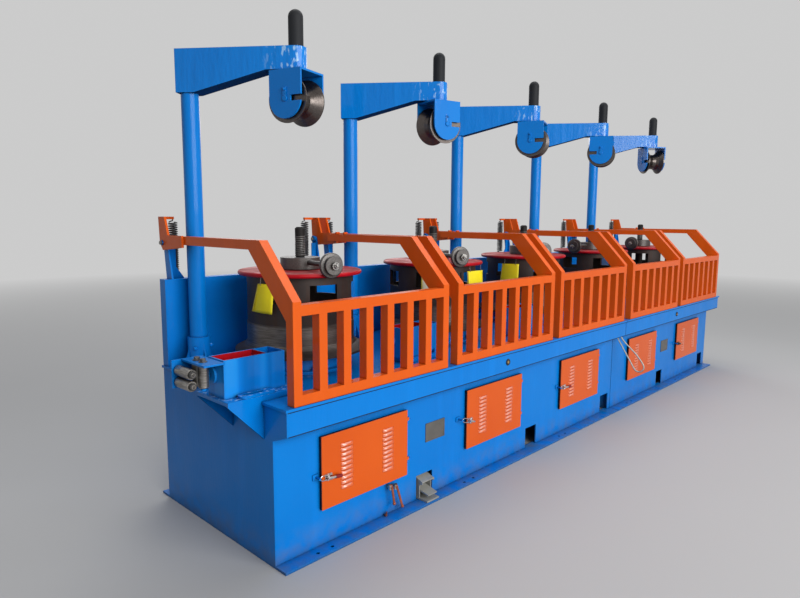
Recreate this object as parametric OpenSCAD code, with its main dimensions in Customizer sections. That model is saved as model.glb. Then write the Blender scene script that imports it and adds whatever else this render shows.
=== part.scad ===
// Wire drawing machine with five upright drums on one long cabinet.
// X runs along the machine, Y runs from the front wall to the rear, Z is up.
// The origin is on the floor, at the foot of the front wall, halfway along the machine.

/* [Cabinet] */
// Length of the whole machine
body_len = 5470; // [5450:1:5700]
// Length of the left section, which carries the first three drums
left_section_len = 3249; // [3230:1:3265]
// Open seam between the two sections
section_seam = 5; // [3:0.5:8]
// Depth from the front wall to the rear wall
body_depth = 1008; // [980:1:1200]
// Height of the front wall, up to the underside of the ledge
front_wall_h = 585; // [570:1:610]
// Height of the frame that carries the table plate
frame_h = 735; // [700:1:800]
// Thickness of the cabinet walls
wall_t = 8; // [5:1:12]
// Distance from one drum to the next
block_pitch = 1080; // [1080:1:1100]
// Extra distance between drums where the two sections meet
section_extra = 37; // [20:1:60]

/* [Ledge, table and foot rails] */
// How far the ledge stands out from the front wall
ledge_out = 104; // [80:1:140]
// Height of the lower edge of the ledge's front face
ledge_low_z = 625; // [600:1:660]
// Sheet thickness of the ledge
ledge_t = 6; // [4:0.5:8]
// Thickness of the table plate
table_t = 12; // [8:1:20]
// How far the table plate overhangs the ledge and the ends
table_lip = 10; // [4:1:20]
// How far the foot rails stand out on the floor
rail_w = 77; // [60:1:100]
// How far the foot rails reach in under the walls
rail_in = 30; // [20:1:50]
// Thickness of the foot rails
rail_t = 12; // [8:1:20]
// Diameter of the anchor holes in the foot rails
anchor_d = 18; // [14:1:24]
// Distance from the left end to the first anchor hole
anchor_x = 200; // [150:1:230]
// Distance between the two anchor holes of a pair
anchor_pair = 85; // [60:1:120]
// Distance from the wall to the middle of the anchor holes
anchor_y = 46; // [35:1:55]

// Diameter of the hose that loops out of the seam between the sections
hose_d = 11; // [8:1:12]

/* [Doors and notches] */
// Width of an inspection door
door_w = 572; // [500:1:620]
// Distance from a door's upper edge up to the top of the front wall
door_top = 42; // [30:1:60]
// Height of a door's lower edge above the floor
door_z = 190; // [185:1:205]
// Distance from the start of a block to the door's left edge
door_x = 249; // [230:1:280]
// Depth of a door's folded rim
door_rim = 15; // [10:1:25]
// Sheet thickness of a door
door_t = 3; // [2:0.5:5]
// Space between a closed door's rim and the wall
door_gap = 5; // [5:0.5:8]
// How far a door laps over its opening on each side
door_lap = 14; // [8:1:25]
// Radius of a hinge barrel
hinge_r = 8; // [7:0.5:10]
// Length of one half of a hinge barrel
hinge_half = 16; // [12:1:30]
// Number of louvre slots in one column
louvre_count = 10; // [6:1:11]
// Width of a louvre slot
louvre_w = 73; // [50:1:90]
// Height of a louvre slot
louvre_h = 7; // [4:1:10]
// Distance from one louvre slot to the next
louvre_pitch = 23; // [18:1:24]
// Width of the notch at the foot of each block
notch_w = 132; // [100:1:150]
// Height of the notch above the foot rail
notch_h = 134; // [100:1:150]
// Distance from the start of a block to the notch
notch_x = 914; // [890:1:920]

/* [Back wall, posts and arms] */
// Height of the back wall above the table plate
back_wall_h = 463; // [400:1:520]
// Thickness of the back wall
back_wall_t = 58; // [40:1:90]
// Outer diameter of a post
post_d = 89; // [76:0.5:90]
// Distance from the start of a block to its post
post_x = 131; // [131:1:140]
// Distance from the rear wall forward to the posts
post_back = 148; // [140:1:168]
// Height of the arms' underside at the post
arm_low_z = 2150; // [2050:1:2200]
// Height of the arms' underside at the swivel
arm_tip_z = 2250; // [2225:1:2280]
// Height of the arms' upper face
arm_top_z = 2360; // [2320:1:2450]
// Width of an arm
arm_w = 104; // [90:1:110]
// Distance from the post to the swivel axis
arm_reach = 556; // [520:1:570]
// Direction of the arms, measured from +X
arm_turn = -53; // [-56:0.5:-50]
// Length of the level part of the underside before the swivel axis
arm_flat = 140; // [138:1:160]
// Outer diameter of a post's socket
socket_d = 115; // [110:1:130]
// Height of a post's socket
socket_h = 161; // [120:1:200]

/* [Swivel heads] */
// Side of the square fork, seen from above
fork_w = 190; // [170:1:200]
// Thickness of the fork's plates
fork_t = 10; // [8:1:14]
// Height of the fork from its top to the pulley axis
fork_drop = 138; // [132:1:150]
// Diameter of the swivel stem in the arm
stem_d = 60; // [50:1:66]
// Diameter of the cap tube above the arm
cap_d = 74; // [70:1:84]
// Height of the cap tube above the arm
cap_h = 180; // [140:1:220]
// Diameter of an overhead pulley
head_pulley_d = 228; // [200:1:232]
// Width of an overhead pulley
head_pulley_w = 150; // [120:1:158]
// Depth of the overhead pulley's groove
head_groove = 44; // [25:1:55]
// Diameter of the overhead pulley's axle
head_axle_d = 24; // [18:1:32]
// Height of the slots in the fork's cheeks
fork_slot_h = 28; // [20:1:34]
// Turn of each fork about its stem
fork_turns = [16, 76, 22, 203, -40];

/* [Drums] */
// Diameter of the drum's body
drum_d = 568; // [540:1:580]
// Diameter of the drum's foot
drum_foot_d = 696; // [660:1:710]
// Height of the drum's lower edge above the table plate
drum_low = 92; // [70:1:110]
// Height of the drum from its lower edge to the flange
drum_h = 401; // [380:1:420]
// Wall thickness of the drum
drum_wall = 20; // [14:1:28]
// Height of the flared foot
drum_foot_h = 50; // [35:1:70]
// Height of the worn band above the foot, where the wire winds
band_h = 105; // [80:1:140]
// Step from the worn band to the upper drum
band_step = 3; // [1:0.5:5]
// Number of windows in the drum
window_count = 6; // [4:1:6]
// Width of a drum window
window_w = 152; // [120:1:170]
// Height of a drum window
window_h = 95; // [70:1:120]
// Space between the windows and the flange
window_top = 40; // [30:1:60]
// Diameter of the red flange
flange_d = 652; // [600:1:690]
// Thickness of the red flange
flange_t = 22; // [16:1:30]
// Distance from the start of a block to the drum's axis
drum_x = 551; // [545:1:557]
// Distance from the front wall to the drum's axis
drum_y = 522; // [515:1:530]
// Turn of each drum's windows
drum_turns = [18, 35, 5, 48, 25];
// Diameter of the drum's shaft
shaft_d = 70; // [60:1:90]
// Diameter of the pedestal under the drum
pedestal_d = 470; // [400:1:520]
// Outer diameter of the spring on the spindle
spindle_spring_d = 52; // [44:1:60]
// Thickness of the wire of the spindle's spring
spindle_wire = 6; // [4:0.5:8]
// Length of the spring on the spindle
spindle_spring_h = 112; // [90:1:140]
// Height of the cap on the spindle
spindle_cap_h = 44; // [30:1:60]

/* [Flyers] */
// Diameter of the flyer's ring
flyer_d = 210; // [180:1:240]
// Height of the flyer's ring
flyer_h = 60; // [50:1:70]
// Space between the flyer's ring and the flange
flyer_gap = 5; // [5:0.5:10]
// Distance from the flange's rim to the flyer pulley
flyer_clear = 6; // [5:0.5:12]
// Diameter of the flyer's arm
flyer_arm_d = 26; // [20:1:32]
// Diameter of the flyer pulley
flyer_pulley_d = 125; // [110:1:135]
// Width of the flyer pulley
flyer_pulley_w = 44; // [36:1:50]
// Diameter of the axle that carries the flyer pulley
flyer_axle_d = 20; // [16:1:24]
// Direction in which each flyer points, measured from +X
flyer_turns = [-101, -110, -122, -176, -170];

/* [Guards] */
// Width of a guard
guard_w = 1002; // [960:1:1006]
// Distance from the start of a block to the guard
guard_x = 37; // [36:1:40]
// Width of the guard's tubes, seen from the front
guard_tube = 44; // [36:1:44]
// Depth of the guard's upright tubes
guard_depth = 48; // [40:1:56]
// Number of bars between the guard's corner tubes
guard_bars = 6; // [4:1:8]
// Height of the guard's front
guard_front_h = 443; // [400:1:460]
// Height of the guard's side tubes above the table plate
guard_h = 690; // [660:1:720]
// Depth of the sloping part of a guard's side
guard_slope = 234; // [200:1:260]
// Height of the side tubes
guard_side_h = 43; // [36:1:50]
// How much higher the sloping part's inner corner starts than the front tube's
guard_slope_d = 85; // [60:1:90]
// Space between a closed guard and the table plate
guard_gap = 1; // [1:0.5:4]
// Height of the guard's pivot above the table plate
pivot_h = 653; // [630:1:660]
// How far the guard's pivot lies behind the rear wall's face
pivot_back = 2; // [0:1:6]
// Diameter of the guard's pivot pins
pivot_d = 16; // [12:1:20]
// Thickness of the guard's lug plates
lug_t = 12; // [8:1:12]
// Height of the guard's levers above the pivot
lever_h = 136; // [120:1:160]
// Outer diameter of a guard spring
guard_spring_d = 38; // [30:1:44]
// Thickness of a guard spring's wire
guard_wire = 6.5; // [4:0.5:8]
// Distance from a guard's side to the middle of its spring
guard_spring_x = 62; // [56:1:90]

/* [Die boxes and inlet] */
// Length of a die box
box_len = 307; // [280:1:320]
// Width of a die box
box_w = 128; // [110:1:140]
// Height of a die box
box_h = 166; // [140:1:190]
// Wall thickness of a die box
box_wall = 8; // [5:1:12]
// Length of the small compartment at the right end of a die box
box_side_len = 76; // [60:1:100]
// Distance from the start of a block to a die box, negative to the left
box_x = -150; // [-160:1:-140]
// Distance from the front wall to a die box
box_y = 125; // [110:1:140]
// Height of the bolster under a die box
bolster_h = 27; // [20:1:36]
// Length of the slotted clamp plate in front of the first die box
clamp_len = 150; // [120:1:170]
// Width of the slotted clamp plate
clamp_w = 56; // [44:1:58]
// Thickness of the slotted clamp plate
clamp_t = 12; // [8:1:16]
// Width of the slot in the clamp plate
clamp_slot = 20; // [14:1:28]
// How far the shelf reaches out beyond the left end
shelf_out = 171; // [150:1:190]
// Depth of the shelf
shelf_depth = 262; // [255:1:275]
// Distance from the front wall to the shelf
shelf_y = 64; // [50:1:75]
// Thickness of the shelf
shelf_t = 16; // [10:1:20]
// Height of the shelf's gussets
gusset_h = 180; // [120:1:220]
// Diameter of an inlet roller
roller_d = 44; // [36:1:44]
// Length of an upright inlet roller
roller_len = 96; // [70:1:98]
// Length of a level inlet roller
roller_level_len = 112; // [90:1:114]
// Diameter of the inlet rollers' axles
roller_axle_d = 14; // [10:1:18]
// Space between the two rollers of a pair, where the wire runs
wire_gap = 7; // [5:0.5:12]
// Height of the wire line above the table plate
wire_h = 118; // [110:1:120]
// Distance from the front wall to the wire line
wire_y = 214; // [205:1:220]

/* [Hidden] */
$fn = 48;
BLOCKS = [1, 2, 3, 4, 5];
left_blocks = 3;
fit = 0.1;
seat = 0.1;
eps = 0.5;
table_z = frame_h + table_t;
door_h = front_wall_h - door_top - door_z;
post_y = body_depth - post_back;
pivot_y = body_depth + pivot_back;
left_x = -body_len / 2;
right_x = body_len / 2;
seam_x = left_x + left_section_len;
sections = [[left_x, seam_x - section_seam / 2], [seam_x + section_seam / 2, right_x]];
function block_x(i) = left_x + (i - 1) * block_pitch + (i > left_blocks ? section_extra : 0);
function section_blocks(s) = s == 0 ? [1, 2, 3] : [4, 5];

blue = [0.03, 0.42, 0.85];
orange = [0.95, 0.38, 0.1];
iron = [0.24, 0.21, 0.2];
steel = [0.55, 0.54, 0.52];
black = [0.12, 0.12, 0.12];
red = [0.72, 0.05, 0.1];

module at_block(i) translate([block_x(i), 0, 0]) children();

// A box given by its two opposite corners
module block(low, high) translate(low) cube(high - low);

// An outline in Y and Z, drawn out along X from x0 to x1
module along_x(x0, x1) translate([x0, 0, 0]) rotate([90, 0, 90]) linear_extrude(x1 - x0) children();

// Coil spring of close turns, drawn as one ridge for each turn on a core
module coil_spring(d, wire, length) {
    turns = floor(length / (wire * 1.35));
    pitch = length / turns;
    root = d / 2 - wire * 0.55;
    rotate_extrude($fn = 32) polygon(concat([[0, 0]],
        [for (k = [0:turns - 1], q = [[root, 0], [d / 2, 0.3], [d / 2, 0.7], [root, 1]])
         [q[0], (k + q[1] * 0.999) * pitch]],
        [[0, length]]));
}

// Front wall with its door openings and notches

module front_wall(s) {
    x0 = sections[s][0] + wall_t;
    x1 = sections[s][1] - wall_t;
    color(blue) difference() {
        block([x0, 0, rail_t], [x1, wall_t, front_wall_h]);
        for (i = section_blocks(s)) at_block(i) {
            block([door_x + door_lap, -eps, door_z + door_lap],
                  [door_x + door_w - door_lap, wall_t + eps, door_z + door_h - door_lap]);
            block([notch_x, -eps, 0], [notch_x + notch_w, wall_t + eps, rail_t + notch_h]);
        }
    }
}

// End plates of both sections, whose outline takes in the ledge

module end_outline() polygon([[0, 0], [body_depth, 0], [body_depth, frame_h], [-ledge_out, frame_h],
                              [-ledge_out, ledge_low_z], [0, front_wall_h]]);

// Passage for the hose, cut into the ledge from below at the seam
passage_w = 60;
passage_y = [-ledge_out + 14, -10];
passage_z = ledge_low_z + 25;
module hose_passage()
    block([seam_x - passage_w / 2, passage_y[0], front_wall_h - 10],
          [seam_x + passage_w / 2, passage_y[1], passage_z]);

module end_plates() color(blue) {
    difference() {
        for (s = sections) {
            along_x(s[0], s[0] + wall_t) end_outline();
            along_x(s[1] - wall_t, s[1]) end_outline();
        }
        hose_passage();
    }
    // Glands of the hose, under the roof of its passage
    for (end = [hose_path[0], hose_path[len(hose_path) - 1]])
        translate([seam_x, end[1], end[2]]) cylinder(d = hose_d + 11, h = passage_z - end[2]);
    // Packing between the sections, set back so that the seam stays open to view
    block([seam_x - section_seam / 2, 40, 40],
          [seam_x + section_seam / 2, body_depth - 40, frame_h - 40]);
}

module rear_walls() color(blue)
    for (s = sections)
        block([s[0] + wall_t, body_depth - wall_t, rail_t], [s[1] - wall_t, body_depth, frame_h]);

module table_plates() color(blue)
    for (k = [0, 1])
        block([sections[k][0] - (k == 0 ? table_lip : 0), -ledge_out - table_lip, frame_h],
              [sections[k][1] + (k == 1 ? table_lip : 0), body_depth, table_z]);

// Bent sheet of the ledge: the upright front face and the sloping underside
module front_ledges() color(blue) difference() {
    for (s = sections)
        along_x(s[0] + wall_t, s[1] - wall_t)
            polygon([[-ledge_out, frame_h], [-ledge_out, ledge_low_z], [0, front_wall_h],
                     [wall_t, front_wall_h], [wall_t, front_wall_h + ledge_t],
                     [-ledge_out + ledge_t, ledge_low_z + ledge_t], [-ledge_out + ledge_t, frame_h]]);
    hose_passage();
}

// Foot rails at the front and the rear, with their anchor holes
module foot_rails() color(blue) difference() {
    for (s = sections) {
        block([s[0], -rail_w, 0], [s[1], 0, rail_t]);
        block([s[0] + wall_t, -eps, 0], [s[1] - wall_t, rail_in, rail_t]);
        block([s[0], body_depth, 0], [s[1], body_depth + rail_w, rail_t]);
        block([s[0] + wall_t, body_depth - rail_in, 0], [s[1] - wall_t, body_depth + eps, rail_t]);
    }
    for (i = BLOCKS, dx = [0, anchor_pair], y = [-anchor_y, body_depth + anchor_y])
        at_block(i) translate([anchor_x + dx, y, -eps]) cylinder(d = anchor_d, h = rail_t + 2 * eps);
}

module back_walls() color(blue)
    for (s = sections)
        block([s[0], body_depth - back_wall_t, table_z], [s[1], body_depth, table_z + back_wall_h]);

// Hose that leaves the seam, hangs out in one loop and goes back

// Points of the hose's middle line, measured from the seam
hose_path = [[0, -66, 636], [0, -66, 620], [0, -72, 602], [0, -90, 578], [0, -118, 553], [0, -150, 527],
             [0, -182, 500], [0, -213, 470], [0, -240, 437], [0, -258, 412], [0, -264, 392], [0, -261, 375],
             [0, -251, 362], [0, -238, 353], [0, -222, 350], [0, -206, 353], [0, -192, 362], [0, -178, 381],
             [0, -158, 416], [0, -131, 456], [0, -101, 501], [0, -71, 547], [0, -49, 580], [0, -39, 602],
             [0, -36, 620], [0, -36, 636]];
hose_sides = 8;
function ahead(p, k) = let (d = p[min(k + 1, len(p) - 1)] - p[max(k - 1, 0)]) d / norm(d);
module hose_loop() translate([seam_x, 0, 0]) color([0.6, 0.62, 0.58]) polyhedron(
    points = [for (k = [0:len(hose_path) - 1]) let (d = ahead(hose_path, k), up = [0, -d[2], d[1]])
              for (n = [0:hose_sides - 1]) let (a = 360 * (n + 0.5) / hose_sides)
              hose_path[k] + hose_d / 2 * (cos(a) * [1, 0, 0] + sin(a) * up)],
    faces = concat([[for (n = [0:hose_sides - 1]) n]],
                   [for (k = [0:len(hose_path) - 2], n = [0:hose_sides - 1])
                    let (a = k * hose_sides, m = (n + 1) % hose_sides)
                    [a + n, a + hose_sides + n, a + hose_sides + m, a + m]],
                   [[for (n = [hose_sides - 1:-1:0]) (len(hose_path) - 1) * hose_sides + n]]));

// Posts, their sockets and the overhead arms

module posts() color(blue)
    for (i = BLOCKS) at_block(i) translate([post_x, post_y, table_z])
        cylinder(d = post_d, h = arm_low_z - table_z);

socket_base = socket_d + 60;
socket_base_t = 12;
socket_rib = 26;
module post_sockets() color(blue)
    for (i = BLOCKS) at_block(i) translate([post_x, post_y, table_z]) difference() {
        union() {
            cylinder(d = socket_d, h = socket_h);
            translate([-socket_base / 2, -socket_base / 2, 0])
                cube([socket_base, socket_base, socket_base_t]);
            for (a = [0, 90, 180, 270]) rotate(a) rotate([90, 0, 0]) translate([0, 0, -5])
                linear_extrude(10) polygon([[socket_d / 2 - 4, 0], [socket_d / 2 + socket_rib, 0],
                                            [socket_d / 2 + socket_rib, 20], [socket_d / 2 - 4, 110]]);
        }
        translate([0, 0, -eps]) cylinder(d = post_d + 2 * fit, h = socket_h + 2 * eps);
    }

arm_back = post_d / 2 + 5;
module arm() difference() {
    union() {
        translate([0, arm_w / 2, 0]) rotate([90, 0, 0]) linear_extrude(arm_w)
            polygon([[-arm_back, arm_low_z], [post_d / 2, arm_low_z], [arm_reach - arm_flat, arm_tip_z],
                     [arm_reach, arm_tip_z], [arm_reach, arm_top_z], [-arm_back, arm_top_z]]);
        translate([arm_reach, 0, arm_tip_z]) cylinder(d = arm_w, h = arm_top_z - arm_tip_z);
    }
    translate([arm_reach, 0, arm_tip_z - eps])
        cylinder(d = stem_d + 2 * fit, h = arm_top_z - arm_tip_z + 2 * eps);
}
module arms() color(blue)
    for (i = BLOCKS) at_block(i) translate([post_x, post_y, 0]) rotate(arm_turn) arm();

// Swivel fork under the arm, with its stem and the capped tube on top

swivel_x = post_x + arm_reach * cos(arm_turn);
swivel_y = post_y + arm_reach * sin(arm_turn);
swivel_gap = 6;
cap_gap = 1;
fork_top_z = arm_tip_z - swivel_gap;
head_z = fork_top_z - fork_drop;
module at_swivel(i) at_block(i) translate([swivel_x, swivel_y, 0]) rotate(fork_turns[i - 1]) children();

module fork_cheek(side) translate([side * (fork_w - fork_t) / 2, 0, head_z]) rotate([90, 0, 90])
    translate([0, 0, -fork_t / 2]) linear_extrude(fork_t) difference() {
        union() {
            translate([-fork_w / 2, 0]) square([fork_w, fork_drop]);
            circle(d = fork_w);
        }
        translate([-fork_w / 2 - 1, -fork_slot_h / 2]) square([fork_w / 2 - 32, fork_slot_h]);
    }

module fork(i) at_swivel(i) {
    color(blue) {
        translate([-fork_w / 2, -fork_w / 2, fork_top_z - fork_t]) cube([fork_w, fork_w, fork_t]);
        for (side = [-1, 1]) fork_cheek(side);
    }
    color(steel) {
        translate([0, 0, fork_top_z - 1]) cylinder(d = stem_d, h = arm_top_z - fork_top_z + 4);
        translate([-fork_w / 2 - 6, 0, head_z]) rotate([0, 90, 0]) cylinder(d = head_axle_d, h = fork_w + 12);
    }
    color(black) {
        translate([0, 0, arm_top_z + cap_gap]) cylinder(d = cap_d, h = cap_h - cap_gap - cap_d / 2);
        translate([0, 0, arm_top_z + cap_h - cap_d / 2]) intersection() {
            sphere(d = cap_d);
            translate([-cap_d / 2, -cap_d / 2, 0]) cube([cap_d, cap_d, cap_d]);
        }
    }
}

// Overhead pulley with a hollow groove across nearly its whole width
module head_pulley(i) at_swivel(i) translate([0, 0, head_z]) rotate([0, 90, 0]) color(iron) {
    r = head_pulley_d / 2;
    w = head_pulley_w / 2;
    rotate_extrude($fn = 96)
        polygon([[head_axle_d / 2 + fit, -w], [r, -w], [r, 6 - w], [r - head_groove * 0.72, -w * 0.52],
                 [r - head_groove, -w * 0.22], [r - head_groove, w * 0.22],
                 [r - head_groove * 0.72, w * 0.52], [r, w - 6], [r, w], [head_axle_d / 2 + fit, w]]);
}

// Pedestal, drum, flyer and flyer pulley

drum_z = table_z + drum_low;
flange_z = drum_z + drum_h;
flyer_z = flange_z + flange_t + flyer_gap;
spindle_d = 45;
spring_z = flyer_z + flyer_h + 3;
module at_drum(i) at_block(i) translate([drum_x, drum_y, 0]) children();

pedestal_h = drum_low - 6;
module drum_pedestals() color(blue)
    for (i = BLOCKS) at_drum(i) translate([0, 0, table_z]) rotate_extrude()
        polygon([[shaft_d / 2 + fit, 0], [pedestal_d / 2 + 35, 0], [pedestal_d / 2 + 35, 16],
                 [pedestal_d / 2, 16], [pedestal_d / 2 - 10, pedestal_h], [shaft_d / 2 + fit, pedestal_h]]);

web_z = 70;
web_t = 26;
hub_d = 150;
module drum_shell() rotate_extrude($fn = 96) {
    r = drum_d / 2;
    // Wall of the drum, from the flared foot up to the flange
    polygon([[r - drum_wall, 0], [drum_foot_d / 2, 0], [drum_foot_d / 2, 12], [r + 14, drum_foot_h - 14],
             [r, drum_foot_h + 6], [r, drum_foot_h + band_h], [r - band_step, drum_foot_h + band_h + 2],
             [r - band_step, drum_h - seat], [r - band_step - drum_wall, drum_h - seat], [r - drum_wall, drum_foot_h]]);
    // Web and hub on the shaft
    polygon([[shaft_d / 2 - 1, 0], [hub_d / 2, 0], [hub_d / 2, web_z], [r - drum_wall + 1, web_z],
             [r - drum_wall + 1, web_z + web_t], [hub_d / 2, web_z + web_t], [hub_d / 2, web_z + 70],
             [shaft_d / 2 - 1, web_z + 70]]);
}

module drum(i) at_drum(i) {
    color(iron) translate([0, 0, drum_z]) difference() {
        drum_shell();
        for (k = [0:window_count - 1]) rotate(drum_turns[i - 1] + k * 360 / window_count)
            translate([hub_d / 2 + 40, -window_w / 2, drum_h - window_top - window_h])
                cube([drum_foot_d / 2, window_w, window_h]);
    }
    // Flange with its rolled rim, bolted down on the drum
    color(red) translate([0, 0, flange_z]) rotate_extrude($fn = 96) {
        square([(flange_d - flange_t) / 2, flange_t]);
        translate([(flange_d - flange_t) / 2, flange_t / 2]) circle(d = flange_t);
    }
    color(steel) {
        translate([0, 0, table_z + 6]) cylinder(d = shaft_d, h = flange_z - seat - table_z - 6);
        translate([0, 0, flange_z + flange_t + seat]) cylinder(d = spindle_d, h = spring_z - flange_z - flange_t);
    }
    color(black) translate([0, 0, spring_z]) {
        coil_spring(spindle_spring_d, spindle_wire, spindle_spring_h);
        translate([0, 0, spindle_spring_h - 1]) cylinder(d = spindle_spring_d, h = spindle_cap_h - 7);
        translate([0, 0, spindle_spring_h + spindle_cap_h - 8])
            cylinder(d1 = spindle_spring_d, d2 = spindle_spring_d - 18, h = 8);
    }
}

flyer_arm_z = flyer_z + flyer_h / 2 + 6;
pulley_in = flange_d / 2 + flyer_clear;
hub_disc_d = flyer_pulley_d - 32;
module at_flyer(i) at_drum(i) rotate(flyer_turns[i - 1]) children();
module flyer(i) at_flyer(i) color(iron) difference() {
    union() {
        translate([0, 0, flyer_z]) cylinder(d = flyer_d, h = flyer_h);
        translate([0, 0, flyer_arm_z]) rotate([0, 90, 0]) cylinder(d = flyer_arm_d, h = pulley_in - 2);
        translate([0, 0, flyer_arm_z]) rotate([0, 90, 0])
            cylinder(d = flyer_axle_d, h = pulley_in + flyer_pulley_w + 4);
        translate([pulley_in + flyer_pulley_w + 2, 0, flyer_arm_z]) rotate([0, 90, 0])
            cylinder(d = flyer_axle_d + 12, h = 12);
    }
    translate([0, 0, flyer_z - eps]) cylinder(d = spindle_d + 2 * fit, h = flyer_h + 2 * eps);
}

module flyer_pulley(i) at_flyer(i) translate([pulley_in, 0, flyer_arm_z]) rotate([0, 90, 0]) color(iron)
    rotate_extrude() polygon([[flyer_axle_d / 2 + fit, 0], [flyer_pulley_d / 2 - 2, 0],
                              [flyer_pulley_d / 2, 2], [flyer_pulley_d / 2, 16], [flyer_pulley_d / 2 - 3, 19],
                              [hub_disc_d / 2 - 10, 23], [hub_disc_d / 2 - 10, flyer_pulley_w - 18],
                              [hub_disc_d / 2 - 1, flyer_pulley_w - 14], [hub_disc_d / 2, flyer_pulley_w - 12],
                              [hub_disc_d / 2, flyer_pulley_w - 1.5], [hub_disc_d / 2 - 1.5, flyer_pulley_w],
                              [flyer_axle_d / 2 + fit, flyer_pulley_w]]);

// Guards with their levers, brackets and springs

guard_front_y = -ledge_out - 4;
guard_z = table_z + guard_gap;
guard_side_z = table_z + guard_h;
guard_mid = guard_x + guard_w / 2;
bar_gap = (guard_w - (guard_bars + 2) * guard_tube) / (guard_bars + 1);
tube_end_y = post_y - 25;
pivot_z = table_z + pivot_h;
rail_h = 46;

// Draws the children at a guard's left side, and mirrored at its right side
module both_sides() {
    children();
    translate([2 * guard_mid, 0, 0]) mirror([1, 0, 0]) children();
}

module guard_side() {
    inner_drop = guard_slope_d;
    along_x(guard_x, guard_x + guard_tube)
        polygon([[guard_front_y, guard_z], [guard_front_y, guard_z + guard_front_h],
                 [guard_front_y + guard_slope, guard_side_z], [tube_end_y, guard_side_z],
                 [tube_end_y, guard_side_z - guard_side_h],
                 [guard_front_y + guard_slope + inner_drop, guard_side_z - guard_side_h],
                 [guard_front_y + guard_depth, guard_z + guard_front_h - inner_drop],
                 [guard_front_y + guard_depth, guard_z]]);
    // Lug plate, lever and the finger that the spring pulls on
    difference() {
        along_x(guard_x - lug_t, guard_x) union() {
            polygon([[tube_end_y - 35, guard_side_z - 57], [tube_end_y - 35, guard_side_z + 3],
                     [pivot_y - 58, guard_side_z + 3], [pivot_y - 26, pivot_z + lever_h],
                     [pivot_y + 40, pivot_z + lever_h], [pivot_y + 31, pivot_z],
                     [pivot_y, pivot_z - 39]]);
        }
        translate([guard_x - lug_t - eps, pivot_y, pivot_z]) rotate([0, 90, 0])
            cylinder(d = pivot_d + 2 * fit, h = lug_t + 2 * eps);
    }
    block([guard_x - eps, pivot_y + 20, pivot_z + lever_h - 14],
          [guard_x + guard_spring_x + 4, pivot_y + 38, pivot_z + lever_h]);
}

module guard(i) at_block(i) color(orange) {
    both_sides() guard_side();
    for (k = [1:guard_bars])
        translate([guard_x + k * (guard_tube + bar_gap), guard_front_y, guard_z])
            cube([guard_tube, guard_depth, guard_front_h - 20]);
    block([guard_x, guard_front_y, guard_z], [guard_x + guard_w, guard_front_y + guard_depth, guard_z + rail_h]);
    block([guard_x, guard_front_y, guard_z + guard_front_h - 15 - rail_h],
          [guard_x + guard_w, guard_front_y + guard_depth, guard_z + guard_front_h - 15]);
}

back_top_z = table_z + back_wall_h;
anchor_z = back_top_z + 20;
module guard_bracket() {
    bracket_x = guard_x + 2;
    // Plate that stands on the back wall beside the guard's lug
    along_x(bracket_x, bracket_x + 10)
        polygon([[body_depth - back_wall_t, back_top_z], [body_depth, back_top_z],
                 [pivot_y + 20, pivot_z], [pivot_y + 14, pivot_z + 16], [pivot_y - 14, pivot_z + 16],
                 [pivot_y - 22, pivot_z]]);
    // Rib across the plate
    translate([bracket_x, body_depth - 14, 0]) rotate([90, 0, 0]) linear_extrude(8)
        polygon([[0, back_top_z], [88, back_top_z], [44, back_top_z + 62], [44, pivot_z - 24], [0, pivot_z - 24]]);
    // Pivot pin with its head
    translate([guard_x - lug_t - 4, pivot_y, pivot_z]) rotate([0, 90, 0]) cylinder(d = pivot_d, h = lug_t + 14);
    translate([guard_x - lug_t - 6, pivot_y, pivot_z]) rotate([0, 90, 0]) cylinder(d = pivot_d + 10, h = 5);
    // Anchor plate for the spring, on the rear of the back wall
    translate([guard_x + guard_spring_x - 15, body_depth, back_top_z - 60]) {
        cube([30, 8, anchor_z - back_top_z + 60]);
        translate([0, 0, anchor_z - back_top_z + 52]) cube([30, pivot_y + 45 - body_depth, 8]);
    }
}
module guard_brackets() color(blue) for (i = BLOCKS) at_block(i) both_sides() guard_bracket();

spring_low_z = anchor_z + 10;
spring_top_z = pivot_z + lever_h - 24;
module guard_spring() translate([guard_x + guard_spring_x, pivot_y + 29, 0]) {
    translate([0, 0, anchor_z]) cylinder(d = 12, h = 12);
    translate([0, 0, spring_low_z]) coil_spring(guard_spring_d, guard_wire, spring_top_z - spring_low_z);
    translate([0, 0, spring_top_z - 1]) cylinder(d = 12, h = pivot_z + lever_h - 14 - spring_top_z + 1);
}
module guard_springs() color(black) for (i = BLOCKS) at_block(i) both_sides() guard_spring();

// Doors and their hinges

door_face_y = -door_gap - door_rim;
hinge_x = door_x + door_w + hinge_r + 1;
hinge_y = door_face_y + hinge_r;
pin_d = 8;
hinge_zs = [door_z + 64, door_z + door_h - 42 - 2 * hinge_half];
louvre_xs = [116, door_w - 180];
louvre_z = door_z + door_h / 2 - (louvre_count - 1) * louvre_pitch / 2;

module door(i) at_block(i) color(orange) {
    difference() {
        block([door_x, door_face_y, door_z], [door_x + door_w, -door_gap, door_z + door_h]);
        block([door_x + door_t, door_face_y + door_t, door_z + door_t],
              [door_x + door_w - door_t, 0, door_z + door_h - door_t]);
        for (x = louvre_xs, k = [0:louvre_count - 1])
            translate([door_x + x, door_face_y - eps, louvre_z + k * louvre_pitch - louvre_h / 2])
                cube([louvre_w, door_t + 2 * eps, louvre_h]);
    }
    for (z = hinge_zs) difference() {
        union() {
            translate([hinge_x, hinge_y, z + hinge_half + 0.5]) cylinder(r = hinge_r, h = hinge_half - 0.5);
            block([door_x + door_w - eps, door_face_y, z + hinge_half + 0.5],
                  [hinge_x, door_face_y + 4, z + 2 * hinge_half]);
        }
        translate([hinge_x, hinge_y, z]) cylinder(d = pin_d + 2 * fit, h = 2 * hinge_half + 1);
    }
}

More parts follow.
